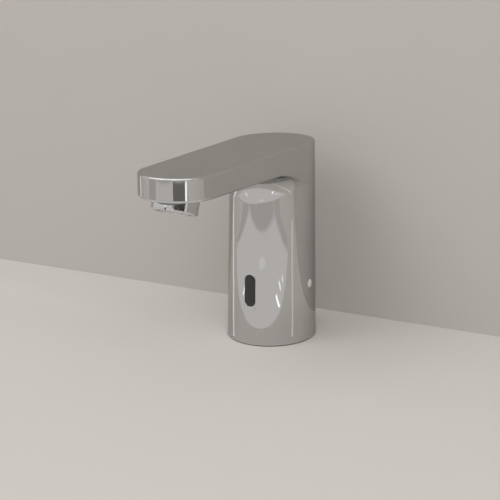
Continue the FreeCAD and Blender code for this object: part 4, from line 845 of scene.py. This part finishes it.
floor_paint = stage_paint("pale_floor", "#CFCCC8")
wall_paint = stage_paint("pale_wall", "#B4B0AC")
ROOM, WALL_Y = 3, 0.0523
stage_sheet("floor", [(-ROOM, -ROOM, 0), (ROOM, -ROOM, 0), (ROOM, ROOM, 0), (-ROOM, ROOM, 0)], floor_paint)
wall = [(ROOM, WALL_Y, 0), (ROOM, WALL_Y, ROOM), (-ROOM, WALL_Y, ROOM), (-ROOM, WALL_Y, 0)]
stage_sheet("backdrop", wall, wall_paint)


def card(name, colour, strength, corners):
    """A plain card that only shows in reflections."""
    paint = bpy.data.materials.new(name)
    paint.use_nodes = True
    tree = paint.node_tree
    tree.nodes.clear()
    glow = add_node(tree, "Emission", Color=linear(colour), Strength=strength)
    add_node(tree, "OutputMaterial", Surface=glow.outputs[0])
    sheet = stage_sheet(name, corners, paint)
    sheet.visible_camera = False
    sheet.visible_diffuse = False
    sheet.visible_shadow = False


def tip_card(name, colour, strength, reach, *corners):
    """An upright card at a distance from the tip, through corners of (bearing in degrees, height in mm)."""
    places = []
    for turn, height in corners:
        place = Vector((reach * sin(radians(turn)), -REACH - reach * cos(radians(turn)), height))
        places.append(place * MM)
    card(name, colour, strength, places)


def floor_card(name, colour, strength, corners, lift=0.5):
    """A card that lies on the floor, between corners in mm."""
    card(name, colour, strength, [(x * MM, y * MM, lift * MM) for x, y in corners])


# On the floor: a pale sheet in front with painted shade round it, and a long strip of light on either side.
floor_card("pale_sheet", "#DDD9D7", 1, [
    (-178, -335), (57, -305), (270, -271), (262, -150), (240, -54), (130, -58), (12, -57), (-50, -64),
    (-160, -57), (-217, -57), (-232, -100), (-226, -190), (-205, -280),
])
# The darker sheet round the pale one is painted shade: a glowing card that stands in for the shaded floor in
# the chrome's reflections.
floor_card("painted_shade_sheet", "#BFBAB6", 1, [
    (-225, -100), (-245, -72), (-262, -130), (-288, -215), (-330, -290), (-620, -620), (-820, -1500),
    (1000, -1300), (520, -520), (390, -300), (335, -190), (312, -115), (286, -64), (236, -64), (200, -240),
    (-180, -240),
], 0.3)
floor_card("left_strip", "#FFFFFF", 1, [
    (-401, 80), (-244, 22), (-113, -11), (-40, -22), (-18, -23.5), (-18, -25), (-40, -25), (-114, -24),
    (-250, -9), (-416, 28),
])
floor_card("right_strip", "#E4E1DE", 1, [
    (355, -8), (286, -13), (206, -15), (138, -16), (59, -16), (35, -16.5), (35, -14.5), (59, -13), (138, -7),
    (205, -1), (284, 8), (355, 20),
])
floor_card("left_gleam", "#FFFFFF", 1.5, [(-75, -86), (-84, -124), (-89, -122), (-84, -86)], 0.8)
floor_card("right_gleam", "#FFFFFF", 1.4, [(156, -85), (146, -73), (140, -76), (151, -88)], 0.8)
floor_card("middle_gleam", "#FFFFFF", 1.6, [(133, -96), (121, -77), (115, -80), (127, -99)], 0.8)
floor_card("near_gleam", "#FFFFFF", 1.8, [(95, -90), (83, -62), (76, -64), (87, -92)], 0.8)
floor_card("soft_gleam", "#EBE8E5", 1, [
    (38, -226), (66, -212), (72, -196), (36, -186), (8, -192), (4, -208),
], 0.8)
# Round the tip: low upright cards from pale to dark, a dark one higher up, and a broad pale one overhead.
tip_card("low_pale_card", "#D6D2CF", 1, 385, (-33, 0), (17, 0), (17, 42), (-33, 42))
tip_card("low_grey_card", "#BAB6B2", 1, 385, (-56, 0), (-33, 0), (-33, 42), (-56, 42))
tip_card("low_dark_card", "#7A7572", 1, 380, (17, 0), (50, 0), (50, 42), (17, 42))
tip_card("low_white_card", "#FFFFFF", 1.6, 378, (50, 0), (55, 0), (55, 42), (50, 42))
tip_card("low_left_card", "#FFFFFF", 1.1, 380, (-100, 0), (-95, 0), (-95, 42), (-100, 42))
tip_card(
    "high_dark_card", "#45413E", 1, 420, (14, 238), (45, 185), (80, 122), (80, 168), (45, 230), (14, 282)
)
card("high_pale_card", "#FFFFFF", 1.5, [
    (-1.6, -1, 0.7), (1.6, -1, 0.7), (1.6, -0.4, 1.7), (-1.6, -0.4, 1.7),
])


def lamp(name, place, aim, size, power, colour):
    """A soft square lamp."""
    light = bpy.data.lights.new(name, "AREA")
    light.shape = "SQUARE"
    light.size = size
    light.energy = power
    light.color = linear(colour)[:3]
    thing = bpy.data.objects.new(name, light)
    thing.location = place
    thing.rotation_mode = "QUATERNION"
    thing.rotation_quaternion = (Vector(aim) - Vector(place)).to_track_quat("-Z", "Y")
    bpy.context.scene.collection.objects.link(thing)


lamp("key_lamp", (-0.9, -1.5, 1.6), (0, -0.15, 0), 1.4, 14, "#FFFFFF")
lamp("fill_lamp", (0.9, -1.5, 1.2), (0.1, -0.5, 0), 1.4, 10, "#FFFFFF")

world = bpy.data.worlds.new("soft_room")
bpy.context.scene.world = world
world.use_nodes = True
tree = world.node_tree
sky = tree.nodes["Background"]
plug(tree, sky, "Color", linear("#DCDAD8"))
plug(tree, sky, "Strength", 1.1)

# The camera stands where the picture was taken from, slightly above the tap and to its right.
CAMERA_PLACE = Vector((0.2975, -0.5873, 0.2230))
LOOK, RIGHT = Vector((-0.4532, 0.8538, -0.2561)), Vector((0.88326, 0.46886, 0))
FOCAL_PIXELS, FRAME_PIXELS, SENSOR_MM = 1200, 500, 36
lens = bpy.data.cameras.new("photo_lens")
lens.sensor_width = SENSOR_MM
lens.lens = FOCAL_PIXELS * SENSOR_MM / FRAME_PIXELS
lens.clip_start, lens.clip_end = 0.01, 20
camera = bpy.data.objects.new("photo_camera", lens)
look = LOOK.normalized()
right = (RIGHT - RIGHT.dot(look) * look).normalized()
facing = Matrix((right, right.cross(look), -look)).transposed()
camera.matrix_world = Matrix.Translation(CAMERA_PLACE) @ facing.to_4x4()
bpy.context.scene.collection.objects.link(camera)
bpy.context.scene.camera = camera

bpy.context.scene.view_settings.view_transform = "Standard"
